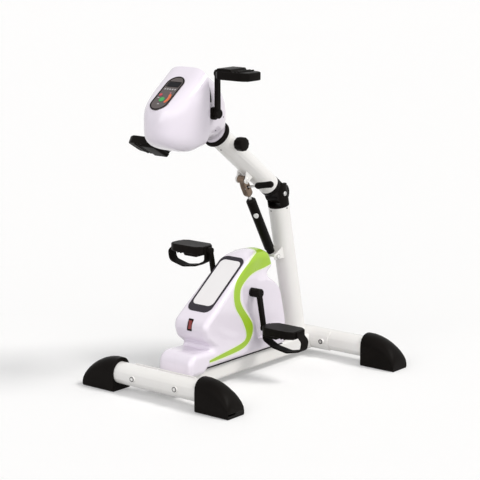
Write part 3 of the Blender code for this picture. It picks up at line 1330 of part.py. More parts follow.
def push_key(name, outline, flange_outline, centre, material, key_frame):
    """Key cap with a flange under the face plate and a plunger that stops above the board."""
    flange_top = CONSOLE_BOTTOM - GAP
    flange_base = flange_top - KEY_FLANGE
    top = CONSOLE_TOP + KEY_PROUD
    local = [(x - centre[0], y - centre[1]) for x, y in outline]
    cap = add_object(name, prism(local, flange_base + 0.0004, top), material, key_frame)
    wide = [(x - centre[0], y - centre[1]) for x, y in flange_outline]
    weld(cap, add_cutter(f"{name}_flange", prism(wide, flange_base, flange_top), key_frame))
    plunger = rod(KEY_PLUNGER_RADIUS, BOARD_TOP + KEY_TRAVEL + GAP, flange_base + 0.0005, 12)
    weld(cap, add_cutter(f"{name}_plunger", plunger, key_frame))


def console_keys(console):
    for name, key, material in (("start_key", START_KEY, "key_green"), ("stop_key", STOP_KEY, "key_red")):
        key_frame = frame_at(f"{name}_axis", (key[0], key[1], 0), (0, 0, 0), console)
        push_key(name, key_outline(key, 0.0), key_outline(key, KEY_FLANGE), key, material, key_frame)
    key_frame = frame_at("speed_key_axis", (SPEED_KEY[0], SPEED_KEY[1], 0), (0, 0, 0), console)
    push_key("speed_key", speed_key_outline(0.0), speed_key_outline(KEY_FLANGE), SPEED_KEY, "key_orange",
             key_frame)


def head_motor():
    """Motor of the hand cranks on a plate that hangs from the bearing tube."""
    place = (0, HEAD_MOTOR_Y, HEAD_MOTOR_Z)
    solid = motor_solid(HEAD_MOTOR_RADIUS, HEAD_MOTOR_LEFT, HEAD_MOTOR_RIGHT, HEAD_PULLEY_X + PULLEY_WIDTH,
                        0.003)
    motor = add_object("head_motor", solid, "steel", None, place, ALONG_X)
    run = Vector((HEAD_MOTOR_Y - HEAD_CRANK_Y, HEAD_MOTOR_Z - HEAD_CRANK_Z))
    angle = math.atan2(run.y, run.x)
    ring = hull_outline(HEAD_TUBE_RADIUS + 0.006, 0.72 * HEAD_MOTOR_RADIUS, run.length)
    outline = [(HEAD_CRANK_Y + a * math.cos(angle) - b * math.sin(angle),
                HEAD_CRANK_Z + a * math.sin(angle) + b * math.cos(angle)) for a, b in ring]
    low = HEAD_MOTOR_LEFT - HEAD_BRACKET_THICKNESS
    plate = loft([[(x, y, z) for y, z in outline] for x in (low, HEAD_MOTOR_LEFT + 0.0005)])
    weld(motor, add_cutter("motor_plate", plate))
    hole = rod(HEAD_TUBE_RADIUS + GAP, -0.1, 0.1, 20)
    cut(motor, add_cutter("motor_plate_hole", hole, None, (0, HEAD_CRANK_Y, HEAD_CRANK_Z), ALONG_X))


def build_floor_frame():
    stabiliser("front_stabiliser", FRONT_Y, FRONT_WIDTH, FRONT_BOLT_SPREAD)
    stabiliser("rear_stabiliser", REAR_Y, REAR_WIDTH, REAR_BOLT_SPREAD)
    saddle("front_saddle", FRONT_Y, 1, FRONT_BOLT_SPREAD)
    saddle("rear_saddle", REAR_Y, -1, REAR_BOLT_SPREAD)
    base_beam()
    for name, side, y, width in (("front_left_foot", -1, FRONT_Y, FRONT_WIDTH),
                                 ("front_right_foot", 1, FRONT_Y, FRONT_WIDTH),
                                 ("rear_left_foot", -1, REAR_Y, REAR_WIDTH),
                                 ("rear_right_foot", 1, REAR_Y, REAR_WIDTH)):
        foot(name, side, y, width)


def build_mast_and_arm():
    mast = frame_at("mast_axis", (0, MAST_FOOT_Y, BEAM_TOP), (MAST_LEAN, 0, 0))
    mast_top = frame_at("mast_top", (0, PIVOT_Y, PIVOT_Z), (MAST_LEAN, 0, 0))
    arm = frame_at("arm_pivot", (0, PIVOT_Y, PIVOT_Z), (ARM_LEAN, 0, 0))
    mast_tube(mast)
    mast_hinge_fork(mast_top)
    arm_pivot_bolt(mast_top)
    arm_hinge_tongue(arm)
    arm_tube(arm)
    collar_ring(arm)
    head_neck(arm)
    lock_knob(frame_at("knob_axis", (0, 0, KNOB_STATION), (0, 0, 0), arm))
    strut_bracket("mast_strut_bracket", mast_top, -STRUT_LOW_ALONG, STRUT_LOW_OFFSET, EAR_ROOT)
    strut_bracket("arm_strut_bracket", arm, STRUT_HIGH_ALONG, STRUT_HIGH_OFFSET, EAR_ROOT)


def build_gas_strut():
    low = point_beside(PIVOT_Y, PIVOT_Z, MAST_LEAN, -STRUT_LOW_ALONG, STRUT_LOW_OFFSET)
    high = point_beside(PIVOT_Y, PIVOT_Z, ARM_LEAN, STRUT_HIGH_ALONG, STRUT_HIGH_OFFSET)
    run = high - low
    lean = math.atan2(-run.x, run.y)
    strut = frame_at("strut_axis", (0, low.x, low.y), (lean, 0, 0))
    strut_cylinder(strut)
    strut_rod(strut)
    release_head(strut, run.length)
    lever = frame_at("lever_axis", (LEVER_PIVOT_X, 0, LEVER_PIVOT_Z), (0, 0, 0), strut)
    release_lever(lever)
    lever_grip(lever)


def point_beside(y, z, lean, along, offset):
    """World (y, z) of a point that lies along a leaning axis and off it on its under side."""
    return Vector((y - along * math.sin(lean) - offset * math.cos(lean),
                   z + along * math.cos(lean) - offset * math.sin(lean)))


def build_pedal_unit():
    panel = frame_at("panel_plane", (0, PANEL_CENTRE_Y, PANEL_CENTRE_Z), (PANEL_SLOPE, 0, 0))
    switch = frame_at("switch_plane", (0, SWITCH_Y, SWITCH_Z), (math.pi / 2 - SWITCH_LEAN, 0, 0))
    rocker = frame_at("rocker_axis", (0, 0, 0), (ROCKER_TILT, 0, 0), switch)
    drive_cover("drive_cover_left", -1, panel, switch)
    drive_cover("drive_cover_right", 1, panel, switch)
    cover_panel(panel)
    switch_bezel(switch)
    power_rocker(switch, rocker)
    drive_bearing_tube()
    drive_motor()
    belt("drive_belt", (CRANK_Y, CRANK_Z), PULLEY_RADIUS, (MOTOR_Y, MOTOR_Z), MOTOR_PULLEY_RADIUS, PULLEY_X)
    motor_axis = frame_at("motor_axis", (0, MOTOR_Y, MOTOR_Z))
    pulley("motor_pulley", MOTOR_PULLEY_RADIUS, MOTOR_SHAFT_RADIUS + GAP, PULLEY_X, motor_axis)
    cranks = frame_at("pedal_crank_axis", (0, CRANK_Y, CRANK_Z), (CRANK_TILT, 0, 0))
    shaft("pedal_crank_shaft", SHAFT_RADIUS, CRANK_ARM_IN - 0.004, cranks)
    pulley("drive_pulley", PULLEY_RADIUS, SHAFT_RADIUS + GAP, PULLEY_X, cranks)
    crank("right_crank", CRANK_LENGTH, CRANK_HUB_START, CRANK_ARM_IN, SHAFT_RADIUS, cranks, 1)
    crank("left_crank", CRANK_LENGTH, CRANK_HUB_START, CRANK_ARM_IN, SHAFT_RADIUS, cranks, -1)
    reach = CRANK_ARM_IN + CRANK_THICKNESS + PEDAL_END_GAP
    dy = CRANK_LENGTH * math.sin(CRANK_TILT)
    dz = CRANK_LENGTH * math.cos(CRANK_TILT)
    right = frame_at("right_pedal_axis", (reach, CRANK_Y + dy, CRANK_Z - dz))
    left = frame_at("left_pedal_axis", (-reach, CRANK_Y - dy, CRANK_Z + dz), (0, 0, math.pi))
    pedal("right_pedal", right)
    pedal_strap("right_strap", right)
    pedal("left_pedal", left)
    pedal_strap("left_strap", left)


def build_hand_unit():
    console = frame_at("console_plane", (0, CONSOLE_Y, CONSOLE_Z), (CONSOLE_SLOPE, 0, 0))
    head_rear_shell()
    head_front_shell(console)
    control_panel(console)
    control_board(console)
    console_keys(console)
    bearing_tube("head_bearing_tube", HEAD_TUBE_RADIUS, HEAD_TUBE_IN, HEAD_SHAFT_RADIUS, HEAD_TUBE_LEFT,
                 HEAD_TUBE_RIGHT, (0, HEAD_CRANK_Y, HEAD_CRANK_Z))
    head_motor()
    belt("head_belt", (HEAD_CRANK_Y, HEAD_CRANK_Z), HEAD_PULLEY_RADIUS, (HEAD_MOTOR_Y, HEAD_MOTOR_Z),
         HEAD_MOTOR_PULLEY_RADIUS, HEAD_PULLEY_X)
    motor_axis = frame_at("head_motor_axis", (0, HEAD_MOTOR_Y, HEAD_MOTOR_Z))
    pulley("head_motor_pulley", HEAD_MOTOR_PULLEY_RADIUS, 0.003 + GAP, HEAD_PULLEY_X, motor_axis)
    cranks = frame_at("head_crank_axis", (0, HEAD_CRANK_Y, HEAD_CRANK_Z), (math.pi, 0, 0))
    shaft("head_crank_shaft", HEAD_SHAFT_RADIUS, HEAD_ARM_IN - 0.004, cranks)
    pulley("head_drive_pulley", HEAD_PULLEY_RADIUS, HEAD_SHAFT_RADIUS + GAP, HEAD_PULLEY_X, cranks)
    crank("head_right_crank", HEAD_CRANK_LENGTH, HEAD_HUB_START, HEAD_ARM_IN, HEAD_SHAFT_RADIUS, cranks, 1)
    crank("head_left_crank", HEAD_CRANK_LENGTH, HEAD_HUB_START, HEAD_ARM_IN, HEAD_SHAFT_RADIUS, cranks, -1)
    reach = HEAD_ARM_IN + CRANK_THICKNESS + PEDAL_END_GAP
    right = frame_at("right_handle_axis", (reach, HEAD_CRANK_Y, HEAD_CRANK_Z + HEAD_CRANK_LENGTH),
                     (math.pi, 0, 0))
    left = frame_at("left_handle_axis", (-reach, HEAD_CRANK_Y, HEAD_CRANK_Z - HEAD_CRANK_LENGTH),
                    (LEFT_HANDLE_PITCH, 0, math.pi))
    pedal("right_handle", right)
    pedal("left_handle", left)


def build():
    clear_scene()
    build_floor_frame()
    build_mast_and_arm()
    build_gas_strut()
    build_pedal_unit()
    build_hand_unit()
    bpy.context.view_layer.update()


build()
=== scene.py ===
"""Electric pedal exerciser, finished for the picture: finishes, trim, prints and small parts on the frame.

Metres, +Z up, +X to the user's right. The user sits at -Y. The origin is on the floor between the tubes.
"""

import json
import math

import bmesh
import bpy
from mathutils import Matrix, Vector
from mathutils.bvhtree import BVHTree

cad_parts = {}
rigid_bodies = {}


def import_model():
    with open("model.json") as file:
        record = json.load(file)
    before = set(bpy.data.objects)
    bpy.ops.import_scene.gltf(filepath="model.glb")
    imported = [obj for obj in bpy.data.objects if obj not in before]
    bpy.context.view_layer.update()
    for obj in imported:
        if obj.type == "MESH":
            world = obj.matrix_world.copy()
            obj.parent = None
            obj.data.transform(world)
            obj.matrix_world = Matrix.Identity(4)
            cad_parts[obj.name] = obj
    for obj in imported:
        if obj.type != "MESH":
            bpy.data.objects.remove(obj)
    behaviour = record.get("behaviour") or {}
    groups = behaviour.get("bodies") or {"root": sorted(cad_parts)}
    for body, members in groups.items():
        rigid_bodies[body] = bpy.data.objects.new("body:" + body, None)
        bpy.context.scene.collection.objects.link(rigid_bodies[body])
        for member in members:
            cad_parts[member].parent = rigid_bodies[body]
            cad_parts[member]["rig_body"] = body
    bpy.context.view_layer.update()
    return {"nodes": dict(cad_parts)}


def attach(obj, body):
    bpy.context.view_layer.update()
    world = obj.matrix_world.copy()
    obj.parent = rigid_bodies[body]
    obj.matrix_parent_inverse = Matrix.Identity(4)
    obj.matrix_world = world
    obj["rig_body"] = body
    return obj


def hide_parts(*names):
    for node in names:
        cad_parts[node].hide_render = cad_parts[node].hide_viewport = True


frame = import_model()

# Camera, at the photograph's angle
CAMERA_PLACE = (2.84338, -3.49979, 1.30432)
CAMERA_TARGET = (0.26817, -0.31619, 0.45)
CAMERA_LENS = 131.52
CAMERA_FAR = 50.0

# Stage and lamps: direction to the lamp, strength, width of its disc in the sky, colour
FLOOR_SIZE = 60.0
FLOOR_WHITE = 0.88
FLOOR_BOUNCE = 0.42
FLOOR_GLOW = 0.13
FLOOR_LEVEL = -0.0005
FLOOR_ROUGHNESS = 0.9
FLOOR_SHINE = 0.1
SKY_STRENGTH = 0.36
LAMPS = {
    "key_lamp": ((1.0, 0.35, 1.35), 1.68, math.radians(20), (1.0, 0.985, 0.965)),
    "front_lamp": ((0.25, -1.0, 0.45), 1.15, math.radians(60), (0.99, 0.985, 1.0)),
    "side_lamp": ((1.0, -0.30, 0.10), 0.85, math.radians(60), (1.0, 0.99, 0.985)),
}

# Places taken over from the solids
TUBE_HEIGHT = 0.046
ARM_ANGLE = math.radians(36.5)
ARM_ALONG = Vector((0.0, -math.cos(ARM_ANGLE), math.sin(ARM_ANGLE)))
PIVOT = Vector((0.0, 0.17361, 0.46592))
STRUT_LOW = Vector((0.0, 0.15403, 0.29593))
STRUT_HIGH = Vector((0.0, 0.02605, 0.52187))
STRUT_RADIUS = 0.0132
STRUT_NECK_RADIUS = 0.0108
STRUT_STATIONS = (0.0130, 0.0240, 0.0290, 0.1890, 0.1930)
STRUT_END_RADIUS = 0.0097
STRUT_EDGE = 0.0008
LABEL_RADIUS = 0.0078
LABEL_SHARES = (1.0, 0.66, 0.33)
LABEL_STEPS = 32
LABEL_STATION = 0.1460
LABEL_FACING = Vector((0.62, -0.6786, -0.3822))
CONSOLE_CENTRE = Vector((0.0, -0.269, 0.776))
CONSOLE_SLOPE = math.radians(36)
CONSOLE_LENGTH = 0.122
CONSOLE_WIDTH = 0.054
CONSOLE_TOP = 0.0012
DISPLAY_ALONG = 0.032
DISPLAY_WIDTH = 0.036
DISPLAY_HEIGHT = 0.015
PANEL_CENTRE = Vector((0.0, -0.0855, 0.259))
PANEL_SLOPE = math.radians(37.2)

# Housing: side outline as corners (y, z, radius), and widths
HOUSING_BASE = 0.0625
HOUSING_SKIRT = 0.050
HOUSING_WALL = 0.0025
HOUSING_CORNERS = (
    (0.144, HOUSING_BASE, 0.004), (0.150, 0.125, 0.080), (0.124, 0.228, 0.075), (0.076, 0.262, 0.010),
    (0.107, 0.286, 0.014), (0.095, 0.329, 0.026), (0.0165, 0.3345, 0.080), (-0.197, 0.1745, 0.030),
    (-0.184, 0.135, 0.030), (-0.146, 0.105, 0.012), (-0.249, 0.109, 0.030), (-0.254, HOUSING_SKIRT, 0.003),
    (-0.195, HOUSING_SKIRT, 0.003), (-0.180, HOUSING_BASE, 0.003),
)
RECESS_CORNERS = (
    (0.220, 0.100, 0.0), (0.220, 0.268, 0.0), (0.050, 0.268, 0.030), (-0.040, 0.262, 0.030),
    (-0.040, 0.205, 0.040), (0.012, 0.140, 0.040), (0.015, 0.100, 0.015),
)
HALF_WIDTH = 0.056
TOP_HALF_WIDTH = 0.047
HORN_HALF_WIDTH = 0.040
FLAT_HALF_WIDTH = 0.0414
RECESS_HALF_WIDTH = 0.0495
CROWN = 0.014
CROWN_STEPS = 9
COVER_GAP = 0.00015
HORN_DROP = 0.013
DROP_HALF_WIDTH = 0.045
# Each ramp: where it starts and its length. Each bend: axis, first plane, last plane
TOP_RAMP = (0.20, 0.115)
HORN_ALONG_RAMP = (0.0, 0.06)
HORN_UP_RAMP = (0.225, 0.05)
DROP_ALONG_RAMP = (-0.020, 0.050)
DROP_UP_RAMP = (0.262, 0.062)
BENDS = ((2, 0.200, 0.335), (1, -0.020, 0.110))
BENDS_ACROSS = (0, 0.008, 0.040, 0.008)
OUTER_SPACING = 0.006
INNER_SPACING = 0.012
INNER_CROWN_STEPS = 2
INNER_STEP = math.radians(30)
FINE_STEP = math.radians(6)
SHAFT_HOLE_RADIUS = 0.012
CRANK_Y = 0.003
CRANK_Z = 0.2302
BEAM_SLOT = ((-0.0403, 0.0403), (-0.3, 0.3), (0, 0.0598))
FLOOR_OPENING = ((-0.0385, 0.0385), (-0.125, 0.050), (0.03, HOUSING_BASE + 2 * HOUSING_WALL))
PANEL_RECESS = ((-0.0393, 0.0393), (-0.0943, 0.0993), 0.0203)
PANEL_CUT = (-0.0015, 0.03)
SWITCH_CENTRE = Vector((0.0, -0.1864, 0.1715))
SWITCH_TURN = math.pi / 2 - math.radians(16.1)
SWITCH_PAD_REACH = 0.0125
SWITCH_PAD = ((-0.0123, 0.0123), (-0.0038, 0))
SWITCH_SEAT = ((-0.00875, 0.00875), (-0.022, 0.022), (0, 0.02))
SWITCH_HOLE = ((-0.0066, 0.0066), (-0.0131, 0.0131), 0.001)
SWITCH_CUT = (-0.03, 0.02)
SHAFT_HOLE_STEPS = 60
BEYOND_FLANK = 0.08
BEYOND_SHAFT = 0.1
BEYOND_MIDDLE = 0.001

# Green stripe: its two edges seen from the side, as (y, z) in tenths of a millimetre
STRIPE_FRONT = (
    (680, 3450), (610, 3360), (526, 3284), (352, 3239), (216, 3195), (55, 3135), (-60, 3070), (-161, 3010),
    (-268, 2940), (-375, 2866), (-458, 2801), (-557, 2727), (-648, 2627), (-710, 2535), (-752, 2425),
    (-768, 2297), (-759, 2163), (-724, 2037), (-642, 1901), (-531, 1758), (-435, 1618), (-352, 1467),
    (-289, 1319), (-276, 1180), (-330, 1083), (-497, 1018), (-705, 981), (-952, 947), (-1197, 917),
    (-1440, 886), (-1642, 858), (-1782, 836),
)
STRIPE_BACK = (
    (1250, 2935), (920, 2880), (785, 2855), (653, 2836), (471, 2822), (287, 2815), (99, 2794), (-41, 2755),
    (-153, 2703), (-267, 2639), (-359, 2577), (-444, 2500), (-499, 2405), (-521, 2290), (-520, 2171),
    (-464, 2044), (-373, 1910), (-248, 1765), (-115, 1607), (-24, 1468), (1, 1341), (-15, 1225),
    (-78, 1105), (-162, 1007), (-288, 925), (-456, 869), (-705, 835), (-993, 813), (-1279, 797),
    (-1562, 787), (-1782, 783),
)
TENTHS = 10000
STRIPE_CAP = ((0.125, 0.360), (0.068, 0.360))
STRIPE_LINE = 0.0030
STRIPE_POINTS = 110
CURVE_STEPS = 12
DECAL_LIFT = 0.00025
BESIDE_MIDDLE = 0.0005
CUT_FACING = 0.99
CUT_REACH = 0.002
SKIN_REACH = 2e-4
SKIN_FACING = 0.8
PRINT_WELD = 1e-5

# Head: the hood from its rim to its nose, and the rear shell from the hood to the neck
HEAD_CRANK_Y = -0.17269
HEAD_CRANK_Z = 0.72219
HEAD_WALL = 0.0025
HOOD_RIM_AHEAD = 0.0190
HOOD_DEPTH = 0.1362
HOOD_HALF_WIDTH = 0.0723
HOOD_NOSE_DROP = 0.0261
HOOD_MIDDLE_RISE = 0.0124
HOOD_BELLY = 0.0702
HOOD_BELLY_LIFT = 0.0100
HOOD_CREST = 0.0027
HOOD_CREST_REACH = 0.0332
HOOD_NOSE_BLEND = 0.0146
HOOD_TOP_POWER = 3.86
HOOD_BELLY_POWER = 3.90
HOOD_PLAN_POWER = 2.36
HOOD_STEPS = 26
HOOD_LAST_SHARE = 0.995
HOOD_LIFT_REACH = 0.05
HOOD_LEAST_HEIGHT = 0.002
OVAL_STEPS = 72
HEAD_OVERHANG = 0.1173
BLEND_STEPS = 5
REAR_SHELL_SECTIONS = (
    (-0.2285, 0.0494, 0.0, 0.0615, 0.095, 2.5),
    (0.1253, 0.0409, 5.0, 0.0590, 0.088, 2.4),
    (0.3896, -0.0529, 15.0, 0.0540, 0.074, 2.4),
    (0.5686, -0.2404, 26.0, 0.0455, 0.055, 2.3),
    (0.6795, -0.4280, 36.5, 0.0350, 0.037, 2.1),
)
RIM_WIDTH = 0.0035
RIM_PROUD = 0.0006
BAND_SUNK = 0.0002
TRIM_EDGE = 0.0003
# Outer and inner edge of the display's frame: how much larger than the display, corner radius
DISPLAY_FRAME = ((0.0044, 0.0030), (0.0008, 0.0020))
DISPLAY_FRAME_PROUD = 0.0004
PRINT_DEPTH = 0.00015
PRINT_STEP = math.radians(15)

# Blank marks on the face plate: width, height, corner radius, place, finish, slot
PALE = ("print_pale", "insert_white")
MARKS = {str(i + 1): (0.0040, 0.0046, 0.0010, (0.008 * (i - 2), 0.0140), *PALE) for i in range(5)}
MARKS["stop"] = (0.0058, 0.0026, 0.0010, (-0.0155, -0.0185), *PALE)
MARKS["start"] = (0.0062, 0.0024, 0.0010, (-0.0020, -0.0400), *PALE)
MARKS["mode"] = (0.0050, 0.0034, 0.0012, (0.0105, 0.0010), "print_pink", "key_red")

# Neck of the arm
ARM_LENGTH = 0.3135
NECK_CAP_STATION = 0.3255
NECK_CAP_RADIUS = 0.0310
NECK_HOLE_RADIUS = 0.0248
NECK_HOLE_END = ARM_LENGTH + 0.04
INNER_AHEAD = 0.002
OPENING_GAP = 0.0003
OPENING_REACH = (-0.03, -0.005)
POCKET_CUT = (-0.02, 0.03)
STADIUM_STEPS = 20

# Small pieces, turned ones with a profile of (radius, height) points
SIDES = ((1, "right"), (-1, "left"))
BOSS_START = 0.0648
BOSS_EDGE = 0.0012
BOSS = ((0.0065, 0), (0.0160, 0), (0.0160, 0.0100), (0.0065, 0.0100))
EAR_FACE = 0.0204
WASHER = ((0.0046, 0), (0.0070, 0), (0.0070, 0.0012), (0.0046, 0.0012))
CAP = ((0, 0), (0.0046, 0), (0.0046, 0.0018), (0.0030, 0.0026), (0, 0.0026))
LIP_STATION = 0.3118
LIP_EDGE = 0.0004
LIP = ((0.0335, 0), (0.0360, 0), (0.0368, 0.0015), (0.0368, 0.0109), (0.0360, 0.0124), (0.0335, 0.0124))
STRAP_SWELL = 0.0008
# Dark strips of painted shade by the hood's rim, corners of their section: share of the way between the
# shell's first two sections, inset
SHADE_STRIP_SECTION = ((0.30, -0.0008), (0.66, -0.0008), (0.66, 0.0005), (0.30, 0.0005))
SHADE_STRIP_ARC = {"right": range(2, 14), "left": range(34, 22, -1)}
# Bolts of the frame: reach from the middle, and Y
BOLTS = {"front": (0.0715, -0.3341), "rear": (0.083, 0.2647)}
BOLT_RING = ((0.0042, 0), (0.0066, 0), (0.0066, 0.0014), (0.0042, 0.0014))
BOLT_HEAD = ((0, 0), (0.0042, 0), (0.0042, 0.0017), (0, 0.0019))
PLUG = ((0, -0.0006), (0.0021, -0.0006), (0.0021, 0.0005), (0, 0.0007))
PLUG_EDGE = 0.0002
# Plugs and screws: name, place, direction, body
PLUGS = (
    ("mast_front_plug", (-0.0063, 0.1558, 0.4171), (-0.239, -0.950, -0.202), "frame"),
    ("mast_side_plug", (0.0284, 0.1811, 0.4257), (0.993, -0.118, -0.025), "frame"),
    ("arm_plug", (0.0060, -0.0696, 0.6115), (0.239, -0.578, -0.780), "arm"),
    ("shell_low_screw", (0.0474, -0.1412, 0.6737), (0.896, 0.143, -0.421), "head"),
    ("shell_rear_screw", (0.0490, -0.1122, 0.7049), (0.947, 0.307, -0.100), "head"),
)
# Dark strips of painted shade in the gap under the covers' lower edges: across, along, height
GAP_SHADE_ACROSS = (0.0408, 0.0490)
GAP_SHADE_ALONG = (-0.176, 0.138)
GAP_SHADE_HEIGHT = (0.0613, 0.0625)


# Shader groups and finishes

# Noises as (scale, detail), and the ranges of a value that give 0 to 1
MOTTLE_DETAIL = 5.0
MOTTLE_RANGE = (0.34, 0.68)
GRAIN_DETAIL = 3.0
PATCH_NOISE = (22.0, 4.0)
LINE_DETAIL = 2.0
LINE_STRETCH = (0.12, 1.0, 1.0)
# Painted highlight along outer edges: bevel samples, the facing that gives it, and the noise that breaks it
EDGE_SAMPLES = 4
EDGE_RANGE = (0.995, 0.86)
EDGE_NOISE = (140.0, 4.0)
EDGE_BREAKS = (0.36, 0.60)


def wire(tree, node, wires):
    """Sets or links a node's inputs. Each wire is (input, value or output socket)."""
    for place, value in wires:
        if isinstance(value, bpy.types.NodeSocket):
            tree.links.new(value, node.inputs[place])
        else:
            node.inputs[place].default_value = value


def add_node(tree, kind, wires=(), **settings):
    """One shader node with its settings and wires."""
    made = tree.nodes.new(kind)
    for key, value in settings.items():
        setattr(made, key, value)
    wire(tree, made, wires)
    return made


def noise(tree, scale, detail, stretch=None):
    """Noise in the object's own coordinates."""
    place = add_node(tree, "ShaderNodeTexCoord").outputs["Object"]
    if stretch:
        place = add_node(tree, "ShaderNodeMapping", [("Vector", place), ("Scale", stretch)]).outputs[0]
    return add_node(tree, "ShaderNodeTexNoise",
                    [("Vector", place), ("Scale", scale), ("Detail", detail)]).outputs["Fac"]


def over_range(tree, value, low, high):
    """0 to 1 while a value goes from low to high."""
    return add_node(tree, "ShaderNodeMapRange",
                    [("Value", value), ("From Min", low), ("From Max", high)]).outputs["Result"]


def calculated(tree, operation, *values):
    """One sum on values and sockets."""
    return add_node(tree, "ShaderNodeMath", enumerate(values), operation=operation).outputs[0]


def mixed_colour(tree, share, colour, other):
    return add_node(tree, "ShaderNodeMix",
                    [("Factor", share), (6, colour), (7, other)], data_type="RGBA").outputs[2]


def new_group(name, colours_in, values_in, colours_out, values_out):
    """An empty shader node group with colour and value sockets, and its two end nodes."""
    group = bpy.data.node_groups.new(name, "ShaderNodeTree")
    for way, colours, values in (("INPUT", colours_in, values_in), ("OUTPUT", colours_out, values_out)):
        for label in colours + values:
            kind = "NodeSocketColor" if label in colours else "NodeSocketFloat"
            group.interface.new_socket(label, in_out=way, socket_type=kind)
    return group, group.nodes.new("NodeGroupInput").outputs, group.nodes.new("NodeGroupOutput").inputs


def mottle_group():
    """Slow change of colour over a surface."""
    group, given, result = new_group("soft_mottle", ["Colour", "Shade"], ["Scale", "Amount"], ["Colour"], [])
    drift = over_range(group, noise(group, given["Scale"], MOTTLE_DETAIL), *MOTTLE_RANGE)
    share = calculated(group, "MULTIPLY", drift, given["Amount"])
    group.links.new(mixed_colour(group, share, given["Colour"], given["Shade"]), result["Colour"])
    return group


def texture_group(name, detail, stretch=None, patches=False):
    """Height of a fine texture, and the roughness that follows it and wider patches about their middle."""
    group, given, result = new_group(name, [], ["Scale", "Roughness", "Spread"], [], ["Roughness", "Height"])
    height = noise(group, given["Scale"], detail, stretch)
    if patches:
        both = calculated(group, "ADD", noise(group, *PATCH_NOISE), height)
        middle = calculated(group, "SUBTRACT", both, 1.0)
    else:
        middle = calculated(group, "SUBTRACT", height, 0.5)
    rough = calculated(group, "MULTIPLY_ADD", middle, given["Spread"], given["Roughness"])
    group.links.new(rough, result["Roughness"])
    group.links.new(height, result["Height"])
    return group


def edge_highlight_group():
    """Painted highlight: a lighter colour along outer edges, broken up by noise."""
    group, given, result = new_group("edge_highlights", ["Colour", "Highlight Colour"], ["Width", "Strength"],
                                     ["Colour"], ["Mask"])
    rounded = add_node(group, "ShaderNodeBevel", [("Radius", given["Width"])], samples=EDGE_SAMPLES)
    flat = add_node(group, "ShaderNodeNewGeometry").outputs["Normal"]
    alike = add_node(group, "ShaderNodeVectorMath",
                     [(0, rounded.outputs["Normal"]), (1, flat)], operation="DOT_PRODUCT")
    edge = over_range(group, alike.outputs["Value"], *EDGE_RANGE)
    broken = over_range(group, noise(group, *EDGE_NOISE), *EDGE_BREAKS)
    mask = calculated(group, "MULTIPLY", calculated(group, "MULTIPLY", edge, broken), given["Strength"])
    group.links.new(mixed_colour(group, mask, given["Colour"], given["Highlight Colour"]), result["Colour"])
    group.links.new(mask, result["Mask"])
    return group


GROUPS = {"mottle": mottle_group(), "edges": edge_highlight_group(),
          "grain": texture_group("fine_grain", GRAIN_DETAIL, patches=True),
          "lines": texture_group("drawn_lines", LINE_DETAIL, LINE_STRETCH)}

# Dark finishes shine less than pale ones
DARK = 0.06
DULL = 0.05
SHINE = 0.5

MOTTLE_SCALE = 9.0
MOTTLE_AMOUNT = 0.8
# Painted highlight along outer edges: its width and strength
EDGE_HIGHLIGHT_WIDTH = 0.0011
EDGE_HIGHLIGHT_STRENGTH = 0.55
ROUGHNESS_SPREAD = 0.35
BUMP_STRENGTH = 0.6
COAT_ROUGHNESS = 0.08
